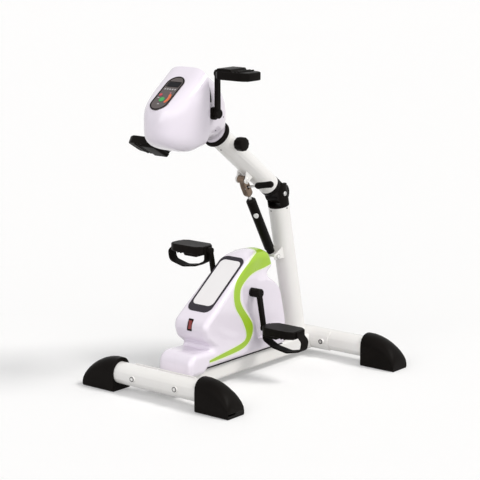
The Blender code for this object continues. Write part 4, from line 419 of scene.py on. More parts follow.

# Each finish: colour, shade it drifts to, roughness, coat, grain scale, bump depth, colour of the painted
# edge highlight
FINISHES = {
    "white_paint": ((0.875, 0.862, 0.84), (0.85, 0.832, 0.802), 0.3, 0.25, 900, 3e-5, (0.9, 0.89, 0.87)),
    "lilac_gloss": ((0.838, 0.78, 0.858), (0.815, 0.755, 0.84), 0.2, 0.45, 520, 2e-5, (0.9, 0.88, 0.92)),
    "black_plastic": (
        (0.0042, 0.0032, 0.0026), (0.0074, 0.006, 0.0052), 0.44, 0, 1400, 1e-4, (0.03, 0.028, 0.027)),
    "black_metal": (
        (0.0042, 0.0032, 0.0026), (0.0076, 0.0062, 0.0054), 0.4, 0, 1100, 6e-5, (0.045, 0.043, 0.042)),
    "black_rubber": (
        (0.005, 0.004, 0.0034), (0.0088, 0.0072, 0.0063), 0.62, 0, 1700, 1.4e-4, (0.026, 0.024, 0.023)),
    "dark_grey": ((0.03, 0.026, 0.034), (0.042, 0.037, 0.046), 0.34, 0.1, 1200, 5e-5, (0.11, 0.1, 0.12)),
    "console_grey": ((0.085, 0.065, 0.062), (0.064, 0.051, 0.049), 0.42, 0, 1300, 4e-5, (0.3, 0.3, 0.3)),
    "insert_white": ((0.865, 0.85, 0.85), (0.845, 0.825, 0.83), 0.34, 0.1, 700, 3e-5, (0.9, 0.89, 0.89)),
    "switch_red": ((0.3, 0.026, 0.022), (0.21, 0.016, 0.014), 0.28, 0.2, 900, 3e-5, (0.55, 0.1, 0.08)),
    "key_red": ((0.56, 0.045, 0.075), (0.48, 0.035, 0.06), 0.42, 0, 1100, 5e-5, (0.66, 0.12, 0.14)),
    "key_green": ((0.045, 0.4, 0.09), (0.03, 0.32, 0.07), 0.42, 0, 1100, 5e-5, (0.12, 0.52, 0.18)),
    "key_orange": ((0.76, 0.16, 0.05), (0.66, 0.12, 0.035), 0.42, 0, 1100, 5e-5, (0.85, 0.3, 0.14)),
    "display_black": ((0.012, 0.012, 0.014), (0.018, 0.018, 0.02), 0.3, 0, 500, 1e-5, (0.05, 0.05, 0.05)),
    "board_green": ((0.02, 0.17, 0.075), (0.014, 0.12, 0.055), 0.5, 0, 800, 5e-5, (0.08, 0.26, 0.14)),
    "belt_black": ((0.025, 0.025, 0.025), (0.038, 0.037, 0.036), 0.75, 0, 1500, 1.2e-4, (0.06, 0.06, 0.06)),
    "stripe_green": ((0.365, 0.58, 0.03), (0.33, 0.535, 0.024), 0.3, 0.1, 600, 2e-5, (0.42, 0.62, 0.06)),
    "stripe_edge": ((0.8, 0.84, 0.64), (0.77, 0.81, 0.6), 0.28, 0.3, 600, 2e-5, (0.85, 0.88, 0.72)),
    "label_white": ((0.78, 0.775, 0.77), (0.73, 0.725, 0.715), 0.46, 0, 900, 3e-5, (0.82, 0.82, 0.82)),
    "print_pale": ((0.52, 0.51, 0.515), (0.46, 0.45, 0.455), 0.5, 0, 900, 2e-5, (0.55, 0.55, 0.55)),
    "print_pink": ((0.56, 0.18, 0.25), (0.5, 0.15, 0.21), 0.5, 0, 900, 2e-5, (0.6, 0.24, 0.3)),
}
# Each metal, with how metallic it is in place of the coat
METALS = {
    "steel": ((0.56, 0.555, 0.55), (0.47, 0.465, 0.455), 0.3, 1, 420, 4e-5, (0.68, 0.68, 0.67)),
    "bronze_steel": ((0.23, 0.165, 0.12), (0.15, 0.11, 0.085), 0.36, 0.9, 420, 6e-5, (0.36, 0.28, 0.22)),
}


def make_finish(name, values, texture):
    """A material of one finish, from the shared groups."""
    colour, shade, roughness, share, grain_scale, depth, edge_highlight_colour = values
    material = bpy.data.materials.new(f"finish_{name}")
    material.use_nodes = True
    tree = material.node_tree
    mottle = add_node(tree, "ShaderNodeGroup",
                      [("Colour", (*colour, 1)), ("Shade", (*shade, 1)), ("Scale", MOTTLE_SCALE),
                       ("Amount", MOTTLE_AMOUNT)], node_tree=GROUPS["mottle"])
    # Painted highlight along the outer edges
    edges = add_node(tree, "ShaderNodeGroup",
                     [("Colour", mottle.outputs["Colour"]), ("Highlight Colour", (*edge_highlight_colour, 1)),
                      ("Width", EDGE_HIGHLIGHT_WIDTH), ("Strength", EDGE_HIGHLIGHT_STRENGTH)], node_tree=GROUPS["edges"])
    grain = add_node(tree, "ShaderNodeGroup",
                     [("Scale", grain_scale), ("Roughness", roughness),
                      ("Spread", ROUGHNESS_SPREAD * roughness)], node_tree=GROUPS[texture])
    bump = add_node(tree, "ShaderNodeBump",
                    [("Height", grain.outputs["Height"]), ("Strength", BUMP_STRENGTH), ("Distance", depth)])
    wire(tree, tree.nodes["Principled BSDF"], [
        ("Base Color", edges.outputs["Colour"]), ("Roughness", grain.outputs["Roughness"]),
        ("Normal", bump.outputs["Normal"]), ("Metallic" if texture == "lines" else "Coat Weight", share),
        ("Coat Roughness", COAT_ROUGHNESS), ("Specular IOR Level", DULL if max(colour) < DARK else SHINE)])
    material.diffuse_color = (*colour, 1)
    return material


MATERIALS = {name: make_finish(name, values, "grain") for name, values in FINISHES.items()}
MATERIALS.update({name: make_finish(name, values, "lines") for name, values in METALS.items()})


# Mesh helpers

BEVEL_SEGMENTS = 2
BEVEL_ANGLE = math.radians(38)
SEAM_WIDTH = 2e-6
FLAT_ANGLE = math.radians(0.4)
SHADING_WEIGHT = 60
LEAST_RADIUS = 0.0008
NEARLY_STRAIGHT = math.radians(2)
EDGE_SHARE = 0.48
TURNED_STEPS = 48
MESH_SHARP = 35.0
SHELL_SHARP = 32.0
PRINT_SHARP = 60.0


def linked(name, data):
    """A new object in the scene."""
    item = bpy.data.objects.new(name, data)
    bpy.context.scene.collection.objects.link(item)
    return item


def object_from(name, maker):
    """A new object in the scene that takes over a mesh in the making."""
    mesh = bpy.data.meshes.new(name)
    maker.to_mesh(mesh)
    maker.free()
    return linked(name, mesh)


def place_mesh(name, maker, finish, body, where=None, sharp=MESH_SHARP, closed=True):
    """Links a mesh as a piece with a finish, which rides on a body."""
    if closed:
        bmesh.ops.recalc_face_normals(maker, faces=maker.faces)
    item = object_from(name, maker)
    item.data.shade_smooth()
    item.data.set_sharp_from_angle(angle=math.radians(sharp))
    item.data.materials.append(MATERIALS[finish])
    if where is not None:
        item.matrix_world = where
    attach(item, body)
    return item


def round_edges(item, width):
    """Small rounded edges that catch the light."""
    bevel = item.modifiers.new("soft_edges", "BEVEL")
    bevel.width = width
    bevel.segments = BEVEL_SEGMENTS
    bevel.limit_method = "ANGLE"
    bevel.angle_limit = BEVEL_ANGLE
    bevel.harden_normals = True
    bevel.use_clamp_overlap = True


def welded(node):
    """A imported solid's mesh with its seams closed and its flat faces whole again."""
    maker = bmesh.new()
    maker.from_mesh(frame["nodes"][node].data)
    bmesh.ops.remove_doubles(maker, verts=maker.verts, dist=SEAM_WIDTH)
    bmesh.ops.dissolve_limit(maker, angle_limit=FLAT_ANGLE, verts=maker.verts, edges=maker.edges)
    return maker


def refined(node, width):
    """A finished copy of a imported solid, with soft shading and rounded edges, in its place."""
    source = frame["nodes"][node]
    slot = source.data.materials[0].name
    item = place_mesh(f"{node}_finished", welded(node), slot, source["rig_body"])
    round_edges(item, width)
    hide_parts(node)


def circle(radius, steps, centre=(0.0, 0.0)):
    """Evenly spaced points on a circle."""
    turns = [2 * math.pi * i / steps for i in range(steps)]
    return [(centre[0] + radius * math.cos(a), centre[1] + radius * math.sin(a)) for a in turns]


def bridge(maker, ring, after):
    """Faces between two closed rings. One of them can be a single point."""
    for i in range(max(len(ring), len(after))):
        j = (i + 1) % max(len(ring), len(after))
        if len(ring) == 1:
            maker.faces.new((ring[0], after[j], after[i]))
        elif len(after) == 1:
            maker.faces.new((ring[i], ring[j], after[0]))
        else:
            maker.faces.new((ring[i], ring[j], after[j], after[i]))


def ring_mesh(profile):
    """A turned solid about Z from (radius, height) points, closed through the axis or on itself."""
    maker = bmesh.new()
    rings = []
    for radius, height in profile:
        outline = circle(radius, TURNED_STEPS) if radius > 0 else [(0, 0)]
        rings.append([maker.verts.new((x, y, height)) for x, y in outline])
    for ring, after in zip(rings, rings[1:]):
        bridge(maker, ring, after)
    if profile[0][0] > 0:
        bridge(maker, rings[-1], rings[0])
    return maker


def aim(place, direction, up=(0, 0, 1)):
    """Frame at a place whose Z axis points along a direction."""
    z = Vector(direction).normalized()
    x = Vector(up).cross(z)
    if x.length < 1e-4:
        x = Vector((1, 0, 0))
    x.normalize()
    y = z.cross(x)
    turn = Matrix((x, y, z)).transposed().to_4x4()
    return Matrix.Translation(Vector(place)) @ turn


def smooth_step(value):
    """0 to 1 with soft ends."""
    share = min(max(value, 0.0), 1.0)
    return share * share * (3 - 2 * share)


def ramp(value, start, length):
    """Rises softly from 0 at the start to 1 after the length."""
    return smooth_step((value - start) / length)


def curve_through(points, steps):
    """Points on a smooth curve through the given ones, with some steps between each two."""
    points = [Vector(point) for point in points]
    made = []
    for i in range(len(points) - 1):
        a = points[max(i - 1, 0)]
        b, c = points[i], points[i + 1]
        d = points[min(i + 2, len(points) - 1)]
        for k in range(steps):
            t = k / steps
            made.append(0.5 * (2 * b + (c - a) * t + (2 * a - 5 * b + 4 * c - d) * t ** 2
                               + (3 * b - a - 3 * c + d) * t ** 3))
    made.append(points[-1])
    return made


def inset_corners(corners, distance):
    """Moves each edge of a counter-clockwise outline inwards, and keeps its fillets concentric."""
    moved = []
    for i, (x, y, radius) in enumerate(corners):
        here = Vector((x, y))
        edge_in = (here - Vector(corners[i - 1][:2])).normalized()
        edge_out = (Vector(corners[(i + 1) % len(corners)][:2]) - here).normalized()
        bisector = Vector((-edge_in.y - edge_out.y, edge_in.x + edge_out.x))
        shift = bisector * (2 * distance / bisector.length_squared)
        bend = radius - distance if edge_in.cross(edge_out) > 0 else radius + distance
        moved.append((x + shift.x, y + shift.y, max(bend, LEAST_RADIUS)))
    return moved


def filleted(corners, step=FINE_STEP):
    """Closed outline in which each corner (x, y, radius) becomes an arc."""
    points = []
    for i, (x, y, radius) in enumerate(corners):
        here = Vector((x, y))
        before = Vector(corners[i - 1][:2]) - here
        after = Vector(corners[(i + 1) % len(corners)][:2]) - here
        inner_angle = before.angle(after)
        turn = math.pi - inner_angle
        if radius <= 0 or turn < NEARLY_STRAIGHT:
            points.append(tuple(here))
            continue
        reach = min(radius * math.tan(turn / 2), EDGE_SHARE * before.length, EDGE_SHARE * after.length)
        radius = reach / math.tan(turn / 2)
        middle = (before.normalized() + after.normalized()).normalized()
        centre = here + middle * (radius / math.sin(inner_angle / 2))
        first = here + before.normalized() * reach - centre
        last = here + after.normalized() * reach - centre
        steps = max(2, math.ceil(turn / step))
        sweep = math.atan2(first.x * last.y - first.y * last.x, first.dot(last))
        for k in range(steps + 1):
            part = sweep * k / steps
            points.append((centre.x + first.x * math.cos(part) - first.y * math.sin(part),
                           centre.y + first.x * math.sin(part) + first.y * math.cos(part)))
    return points


def loft(sections, matrix=None):
    """A closed solid through sections that have the same number of points."""
    maker = bmesh.new()
    rings = [[maker.verts.new(point) for point in section] for section in sections]
    for ring, after in zip(rings, rings[1:]):
        bridge(maker, ring, after)
    maker.faces.new(rings[0])
    maker.faces.new(rings[-1])
    if matrix is not None:
        maker.transform(matrix)
    bmesh.ops.recalc_face_normals(maker, faces=maker.faces)
    return maker


def prism(outline, z_range, matrix=None):
    """A solid with the same outline in the local XY plane at both of its ends."""
    return loft([[(x, y, z) for x, y in outline] for z in z_range], matrix)


def block(x_range, y_range, z_range, matrix=None):
    return prism([(x_range[i], y_range[j]) for i, j in ((0, 0), (1, 0), (1, 1), (0, 1))], z_range, matrix)


def rounded_rectangle(x_range, y_range, radius, step=FINE_STEP):
    (left, right), (low, high) = x_range, y_range
    corners = ((left, low), (right, low), (right, high), (left, high))
    return filleted([(x, y, radius) for x, y in corners], step)


def side_form(outline, low, high):
    """A solid across the object whose outline is given in the side view."""
    return loft([[(x, y, z) for y, z in outline] for x in (low, high)])


def carved(maker, *steps):
    """The mesh after Boolean steps, each a solid to cut away or an (operation, solid)."""
    target = object_from("helper", maker)
    helpers = [target]
    for step in steps:
        operation, solid = step if isinstance(step, tuple) else ("DIFFERENCE", step)
        helper = object_from("helper", solid)
        change = target.modifiers.new("step", "BOOLEAN")
        change.object = helper
        change.operation = operation
        change.solver = "EXACT"
        helpers.append(helper)
    done = target.evaluated_get(bpy.context.evaluated_depsgraph_get())
    result = bmesh.new()
    result.from_mesh(done.to_mesh())
    done.to_mesh_clear()
    for item in helpers:
        mesh = item.data
        bpy.data.objects.remove(item)
        bpy.data.meshes.remove(mesh)
    return result


def even_shading(item):
    """Large faces keep their own direction, and only the fillets between them turn."""
    weigh = item.modifiers.new("even_shading", "WEIGHTED_NORMAL")
    weigh.keep_sharp = True
    weigh.weight = SHADING_WEIGHT


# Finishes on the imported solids

# Width of the rounded edges, and the solids that get it
SOFT_EDGES = {
    0.0016: "front_left_foot front_right_foot rear_left_foot rear_right_foot",
    0.0012: "mast_hinge_fork arm_hinge_tongue",
    0.0009: "right_pedal left_pedal right_handle left_handle",
    0.0008: "release_head",
    0.0006: ("base_beam cover_panel_frame right_crank left_crank collar_ring head_right_crank "
             "head_left_crank"),
    0.0005: "front_saddle rear_saddle mast_strut_bracket arm_strut_bracket lock_knob lever_grip",
    0.0004: ("front_stabiliser rear_stabiliser mast_tube cover_panel_insert power_rocker right_strap "
             "left_strap arm_tube"),
    0.0003: "arm_pivot_bolt switch_bezel release_lever control_panel start_key stop_key speed_key",
    0.0002: "strut_rod display_window",
}
# Solids that are built again below, finer
REBUILT = ("drive_cover_left", "drive_cover_right", "head_front_shell", "head_rear_shell", "strut_cylinder")


def finish_solids():
    """Visible solids get a finished copy, and those inside get their finish directly."""
    widths = {node: width for width, nodes in SOFT_EDGES.items() for node in nodes.split()}
    for node, source in frame["nodes"].items():
        if node in widths:
            refined(node, widths[node])
        elif node not in REBUILT:
            source.data.materials[0] = MATERIALS[source.data.materials[0].name]


# Drive covers

def split_mesh(maker, axis, first, last, spacing):
    """Edges where planes cross the mesh, so that the form can bend there."""
    normal = [0.0, 0.0, 0.0]
    normal[axis] = 1.0
    for i in range(int((last - first) / spacing) + 1):
        point = [0.0, 0.0, 0.0]
        point[axis] = first + spacing * i
        parts = maker.verts[:] + maker.edges[:] + maker.faces[:]
        bmesh.ops.bisect_plane(maker, geom=parts, dist=1e-6, plane_co=point, plane_no=normal)


def cover_half_width(y, z):
    """The housing narrows towards its top, and more so at the rear horn."""
    upper = HALF_WIDTH - (HALF_WIDTH - TOP_HALF_WIDTH) * ramp(z, *TOP_RAMP)
    horn = ramp(y, *HORN_ALONG_RAMP) * ramp(z, *HORN_UP_RAMP)
    return upper + (HORN_HALF_WIDTH - TOP_HALF_WIDTH) * horn


def horn_drop(point):
    """How far a point of the horn lies below the same point on the centre plane."""
    return (HORN_DROP * ramp(point.y, *DROP_ALONG_RAMP) * ramp(point.z, *DROP_UP_RAMP)
            * (abs(point.x) / DROP_HALF_WIDTH) ** 2)


def housing_half(side, low, inset, crown_steps, step, spacing):
    """One half of the housing: flat flank, crowned rim, and a horn that is domed across."""
    layers = [(low, 0.0), (FLAT_HALF_WIDTH, 0.0)]
    for k in range(1, crown_steps + 1):
        angle = math.pi / 2 * k / crown_steps
        x = FLAT_HALF_WIDTH + (HALF_WIDTH - FLAT_HALF_WIDTH - inset) * math.sin(angle)
        layers.append((x, (CROWN - inset) * (1 - math.cos(angle))))
    sections = []
    for x, drop in layers:
        ring = filleted(inset_corners(HOUSING_CORNERS, inset + drop), step)
        sections.append([(x, y, z) for y, z in ring])
    maker = loft(sections)
    for axis, first, last in BENDS:
        split_mesh(maker, axis, first, last, spacing)
    split_mesh(maker, *BENDS_ACROSS)
    for vert in maker.verts:
        if vert.co.x > 2 * abs(low):
            vert.co.x *= (cover_half_width(vert.co.y, vert.co.z) - inset) / (HALF_WIDTH - inset)
        vert.co.z -= horn_drop(vert.co)
        vert.co.x *= side
    bmesh.ops.recalc_face_normals(maker, faces=maker.faces)
    return maker


def recess_form(side, grow):
    """The space sunk in the flank behind the crank."""
    outline = filleted(inset_corners(RECESS_CORNERS, -grow))
    return side_form(outline, *sorted((side * (RECESS_HALF_WIDTH - grow), side * BEYOND_FLANK)))


def finished_shell(node, maker):
    """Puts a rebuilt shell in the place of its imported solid."""
    body = frame["nodes"][node]["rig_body"]
    item = place_mesh(f"{node}_finished", maker, "lilac_gloss", body, None, SHELL_SHARP)
    even_shading(item)
    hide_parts(node)


def shaft_hole(y, z):
    """A round rod across the object, as wide as the hole for a crank shaft."""
    return side_form(circle(SHAFT_HOLE_RADIUS, SHAFT_HOLE_STEPS, (y, z)), -BEYOND_SHAFT, BEYOND_SHAFT)


def drive_cover(side):
    """Finished half of the housing, and its outer form for the stripe."""
    shell = housing_half(side, COVER_GAP, 0.0, CROWN_STEPS, FINE_STEP, OUTER_SPACING)
    outside = shell.copy()
    inside = housing_half(side, -BEYOND_MIDDLE, HOUSING_WALL, INNER_CROWN_STEPS, INNER_STEP, INNER_SPACING)
    cavity = carved(inside, recess_form(side, HOUSING_WALL))
    panel = Matrix.Translation(PANEL_CENTRE) @ Matrix.Rotation(PANEL_SLOPE, 4, "X")
    switch = Matrix.Translation(SWITCH_CENTRE) @ Matrix.Rotation(SWITCH_TURN, 4, "X")
    pad_range = sorted((side * COVER_GAP, side * SWITCH_PAD_REACH))
    finished_shell("drive_cover_right" if side > 0 else "drive_cover_left", carved(
        shell, cavity, recess_form(side, 0.0), ("UNION", block(pad_range, *SWITCH_PAD, switch)),
        block(*BEAM_SLOT), block(*FLOOR_OPENING), shaft_hole(CRANK_Y, CRANK_Z),
        prism(rounded_rectangle(*PANEL_RECESS), PANEL_CUT, panel), block(*SWITCH_SEAT, switch),
        prism(rounded_rectangle(*SWITCH_HOLE), SWITCH_CUT, switch)))
    return outside


# Shells of the head

def oval(half_width, up, down, power_up, power_down):
    """Superellipse with its own height and squareness above and below the widest line."""
    points = []
    for c, s in circle(1.0, OVAL_STEPS):
        power, height = (power_up, up) if s >= 0 else (power_down, down)
        points.append((half_width * math.copysign(abs(c) ** (2 / power), c),
                       height * math.copysign(abs(s) ** (2 / power), s)))
    return points


def hood_form(inset, start):
    """Hood of the head: a sloping top line, a round nose and a belly that lifts towards the rim."""
    depth = HOOD_DEPTH - inset
    nose = HEAD_CRANK_Z - HOOD_NOSE_DROP
    first = math.asin(start / depth)
    sections = []
    for k in range(HOOD_STEPS):
        angle = first + (math.pi / 2 - first) * min(k / (HOOD_STEPS - 1), HOOD_LAST_SHARE)
        out = depth * math.sin(angle)
        y = HEAD_CRANK_Y - HOOD_RIM_AHEAD - out
        share = out / depth
        falloff = (1 - share ** HOOD_PLAN_POWER) ** (1 / HOOD_PLAN_POWER)
        middle = HEAD_CRANK_Z + HOOD_MIDDLE_RISE * (1 - share) - HOOD_NOSE_DROP * share
        crest = HOOD_CREST * smooth_step(1 - out / HOOD_CREST_REACH) - inset / math.cos(CONSOLE_SLOPE)
        plane = CONSOLE_CENTRE.z + math.tan(CONSOLE_SLOPE) * (y - CONSOLE_CENTRE.y) + crest
        beyond = max(0.0, (out - depth + HOOD_NOSE_BLEND) / HOOD_NOSE_BLEND)
        top = nose + (plane - nose) * math.sqrt(max(0.0, 1 - beyond ** 2))
        lift = HOOD_BELLY_LIFT * smooth_step(1 - out / HOOD_LIFT_REACH)
        bottom = nose - (HOOD_BELLY - inset) * falloff + lift
        ring = oval((HOOD_HALF_WIDTH - inset) * falloff, max(top - middle, HOOD_LEAST_HEIGHT),
                    max(middle - bottom, HOOD_LEAST_HEIGHT), HOOD_TOP_POWER, HOOD_BELLY_POWER)
        sections.append([(x, y, middle + z) for x, z in ring])
    return loft(sections)


def rear_section(values, inset, ahead=0.0):
    """Section of the rear shell, placed by shares of the head's overhang."""
    out, rise, tilt, half_width, half_height, power = values
    lean = math.radians(tilt)
    ring = oval(half_width - inset, half_height - inset, half_height - inset, power, power)
    return [(x, HEAD_CRANK_Y + out * HEAD_OVERHANG - ahead + h * math.sin(lean),
             HEAD_CRANK_Z + rise * HEAD_OVERHANG + h * math.cos(lean)) for x, h in ring]


def neck_section(radius, station):
    """Round section about the arm's axis."""
    y = PIVOT.y - station * math.cos(ARM_ANGLE)
    z = PIVOT.z + station * math.sin(ARM_ANGLE)
    return [(x, y + h * math.sin(ARM_ANGLE), z + h * math.cos(ARM_ANGLE))
            for x, h in oval(radius, radius, radius, 2.0, 2.0)]


def blended(sections):
    """More sections on smooth curves through the given ones."""
    return [list(ring) for ring in zip(*(curve_through(column, BLEND_STEPS) for column in zip(*sections)))]


def console_matrix():
    return Matrix.Translation(CONSOLE_CENTRE) @ Matrix.Rotation(CONSOLE_SLOPE, 4, "X")


def stadium(length, width):
    """Outline with round ends, long in local Y."""
    radius = width / 2
    reach = length / 2 - radius
    ends = []
    for centre, start in ((reach, 0.0), (-reach, math.pi)):
        angles = [start + math.pi * i / STADIUM_STEPS for i in range(STADIUM_STEPS + 1)]
        ends += [(radius * math.cos(a), centre + radius * math.sin(a)) for a in angles]
    return ends


def head_shells():
    """Hood and rear shell, both hollow, with the openings for the face plate, the shaft and the neck."""
    opening = loft([rear_section(REAR_SHELL_SECTIONS[0], -OPENING_GAP, reach) for reach in OPENING_REACH])
    plate = stadium(CONSOLE_LENGTH + 2 * OPENING_GAP, CONSOLE_WIDTH + 2 * OPENING_GAP)
    finished_shell("head_front_shell", carved(
        hood_form(0.0, 0.0), hood_form(HEAD_WALL, HEAD_WALL), opening,
        prism(plate, POCKET_CUT, console_matrix())))
    outer = [rear_section(values, 0.0) for values in REAR_SHELL_SECTIONS]
    outer.append(neck_section(NECK_CAP_RADIUS, NECK_CAP_STATION))
    inner = [rear_section(values, HEAD_WALL, INNER_AHEAD if values is REAR_SHELL_SECTIONS[0] else 0.0)
             for values in REAR_SHELL_SECTIONS]
    inner.append(neck_section(NECK_CAP_RADIUS - HEAD_WALL, NECK_CAP_STATION + HEAD_WALL))
    hole = loft([neck_section(NECK_HOLE_RADIUS, ARM_LENGTH), neck_section(NECK_HOLE_RADIUS, NECK_HOLE_END)])
    finished_shell("head_rear_shell", carved(
        loft(blended(outer)), loft(blended(inner)), hole, shaft_hole(HEAD_CRANK_Y, HEAD_CRANK_Z)))


# Console trim

def band_between(outer, inner, low, high, matrix):
    """A closed band between two outlines with the same number of points."""
    maker = bmesh.new()
    rings = [[maker.verts.new((x, y, z)) for x, y in outline]
             for outline, z in ((outer, low), (outer, high), (inner, high), (inner, low))]
    for ring, after in zip(rings, rings[1:] + rings[:1]):
        bridge(maker, ring, after)
    maker.transform(matrix)
    return maker


def rounded_box(width, height, radius, centre):
    """Outline of a small rounded rectangle about a place on the face plate."""
    x, y = width / 2, height / 2
    corners = rounded_rectangle((-x, x), (-y, y), radius, PRINT_STEP)
    return [(a + centre[0], b + centre[1]) for a, b in corners]


def console_trim():
    """Dark rim of the face plate, frame of the display, and the printed marks beside the keys."""
    matrix = console_matrix()
    outer = stadium(CONSOLE_LENGTH, CONSOLE_WIDTH)
    inner = stadium(CONSOLE_LENGTH - 2 * RIM_WIDTH, CONSOLE_WIDTH - 2 * RIM_WIDTH)
    band = band_between(outer, inner, CONSOLE_TOP - BAND_SUNK, CONSOLE_TOP + RIM_PROUD, matrix)
    rim = place_mesh("console_rim", band, "black_plastic", "head")
    round_edges(rim, TRIM_EDGE)
    outer, inner = (rounded_box(DISPLAY_WIDTH + more, DISPLAY_HEIGHT + more, radius, (0.0, DISPLAY_ALONG))
                    for more, radius in DISPLAY_FRAME)
    band = band_between(outer, inner, CONSOLE_TOP - BAND_SUNK, CONSOLE_TOP + DISPLAY_FRAME_PROUD, matrix)
    place_mesh("display_frame", band, "black_plastic", "head")
    for name, (width, height, radius, centre, finish, slot) in MARKS.items():
        outline = rounded_box(width, height, radius, centre)
        maker = prism(outline, (CONSOLE_TOP, CONSOLE_TOP + PRINT_DEPTH), matrix)
        place_mesh(f"console_mark_{name}", maker, finish, "head")


# Gas strut and small pieces

def strut_cylinder():
    """Gas cylinder with a rounded shoulder at each end."""
    foot, neck, shoulder, top, end = STRUT_STATIONS
    profile = [(0, foot), (STRUT_NECK_RADIUS, foot), (STRUT_NECK_RADIUS, neck), (STRUT_RADIUS, shoulder),
               (STRUT_RADIUS, top), (STRUT_END_RADIUS, end), (0, end)]
    item = place_mesh("strut_cylinder_finished", ring_mesh(profile), "black_metal", "strut_lower",
                      aim(STRUT_LOW, STRUT_HIGH - STRUT_LOW))
    round_edges(item, STRUT_EDGE)
    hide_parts("strut_cylinder")


def strut_label():
    """Round blank label that wraps the front of the gas cylinder."""
    axis = (STRUT_HIGH - STRUT_LOW).normalized()
    centre = STRUT_LOW + axis * LABEL_STATION
    flat = aim(centre, LABEL_FACING, axis)
    maker = bmesh.new()
    rings = []
    for share in LABEL_SHARES:
        ring = []
        for x, y in circle(share * LABEL_RADIUS, LABEL_STEPS):
            point = flat @ Vector((x, y, 0.0))
            foot = centre + axis * (point - centre).dot(axis)
            around = aim(foot, point - foot + LABEL_FACING.normalized() * STRUT_RADIUS)
            ring.append(maker.verts.new(around @ Vector((0, 0, STRUT_RADIUS + DECAL_LIFT))))
        rings.append(ring)
    for ring, after in zip(rings, rings[1:]):
        bridge(maker, ring, after)
    maker.faces.new(rings[-1])
    label = place_mesh("strut_label", maker, "label_white", "strut_lower", None, PRINT_SHARP, False)


def turned_piece(name, profile, finish, body, place, direction, width=TRIM_EDGE):
    """A turned piece that sits on a surface and points along a direction."""
    item = place_mesh(name, ring_mesh(profile), finish, body, aim(place, direction))
    round_edges(item, width)


def crank_bosses():
    """Broad hubs of the hand cranks."""
    for side, word in SIDES:
        turned_piece(f"head_{word}_crank_boss", BOSS, "black_metal", "head_crank",
                     (side * BOSS_START, HEAD_CRANK_Y, HEAD_CRANK_Z), (side, 0, 0), BOSS_EDGE)


def head_shade_strips():
    """Dark strips in the gap between the hood's rim and the rear shell, above the crank: painted shade in
    place of the crank arm's shadow there.
    """
    for word, arc in SHADE_STRIP_ARC.items():
        rings = []
        for share, inset in SHADE_STRIP_SECTION:
            first, last = (rear_section(values, inset) for values in REAR_SHELL_SECTIONS[:2])
            rings.append([Vector(a).lerp(Vector(b), share) for a, b in zip(first, last)])
        strip = loft([[ring[i] for ring in rings] for i in arc])
        place_mesh(f"head_{word}_seam", strip, "black_rubber", "head")


def frame_fasteners():
    """Bolts of the saddles, plugged holes in the tubes, and screws of the head."""
    towards_user = (0, -1, 0)
    for end, (reach, y) in BOLTS.items():
        for side, word in SIDES[::-1]:
            place = (side * reach, y, TUBE_HEIGHT)
            turned_piece(f"{end}_{word}_bolt_ring", BOLT_RING, "black_rubber", "frame", place,
                         towards_user)
            turned_piece(f"{end}_{word}_bolt_head", BOLT_HEAD, "steel", "frame", place, towards_user)
    for name, place, direction, body in PLUGS:
        turned_piece(name, PLUG, "dark_grey", body, place, direction, PLUG_EDGE)


def collar_lip():
    """Rolled edge of the black bush where the neck leaves the arm."""
    turned_piece("collar_lip", LIP, "black_rubber", "arm", PIVOT + ARM_ALONG * LIP_STATION,
                 ARM_ALONG, LIP_EDGE)


def thicken_straps():
    """Straps as thick as moulded ones are."""
    for word in ("left", "right"):
        thick = bpy.data.objects[f"{word}_strap_finished"].modifiers.new("moulded_thickness", "DISPLACE")
        thick.mid_level = 0.0
        thick.strength = STRAP_SWELL


def strut_caps():
    """Pale cap in a steel washer on each outer face of the strut's lower ears."""
    for side, word in SIDES:
        place = (side * EAR_FACE, STRUT_LOW.y, STRUT_LOW.z)
        turned_piece(f"strut_{word}_washer", WASHER, "steel", "frame", place, (side, 0, 0))
        turned_piece(f"strut_{word}_cap", CAP, "white_paint", "frame", place, (side, 0, 0))


def cover_gap_shades():
    """Dark strips under the lower edges of the covers, beside the beam: painted shade of the gap between the
    covers and the beam.
    """
    for side, word in SIDES:
        strip = block(sorted(side * x for x in GAP_SHADE_ACROSS), GAP_SHADE_ALONG, GAP_SHADE_HEIGHT)
        place_mesh(f"{word}_cover_seal", strip, "black_rubber", "frame")


# Green stripe on the drive covers

def resampled(points):
    """Evenly spaced points on a smooth curve through the given ones."""
    curve = curve_through(points, CURVE_STEPS)
    lengths = [0.0]
    for before, after in zip(curve, curve[1:]):
        lengths.append(lengths[-1] + (after - before).length)
    found = []
    at = 0
    for i in range(STRIPE_POINTS):
        wanted = lengths[-1] * i / (STRIPE_POINTS - 1)
        while at < len(lengths) - 2 and lengths[at + 1] < wanted:
            at += 1
        span = lengths[at + 1] - lengths[at]
        share = (wanted - lengths[at]) / span if span > 0 else 0
        found.append(curve[at].lerp(curve[at + 1], min(max(share, 0), 1)))
    return found


def beside(curve, distance):
    """The curve moved sideways in its plane."""
    moved = []
    for i, point in enumerate(curve):
        along = (curve[min(i + 1, len(curve) - 1)] - curve[max(i - 1, 0)]).normalized()
        moved.append(point + Vector((-along.y, along.x)) * distance)
    return moved


def printed_on(name, outside, side, outline, finish):
    """Thin sheet on the cover where an outline in the side view covers it."""
    skin = BVHTree.FromBMesh(outside)
    low, high = sorted((side * BESIDE_MIDDLE, side * BEYOND_FLANK))
    sheet = side_form([tuple(point) for point in outline], low, high)
    maker = carved(outside.copy(), ("INTERSECT", sheet))
    spare = []
    for face in maker.faces:
        centre = face.calc_center_median()
        hit = skin.find_nearest(centre)
        cut_side = abs(face.normal.x) > CUT_FACING and abs(centre.x) < CUT_REACH
        if cut_side or hit[3] > SKIN_REACH or abs(face.normal.dot(hit[1])) < SKIN_FACING:
            spare.append(face)
    bmesh.ops.delete(maker, geom=spare, context="FACES")
    bmesh.ops.remove_doubles(maker, verts=maker.verts, dist=PRINT_WELD)
    maker.normal_update()
    for vert in maker.verts:
        vert.co += vert.normal * DECAL_LIFT
    place_mesh(name, maker, finish, "frame", None, PRINT_SHARP, False)


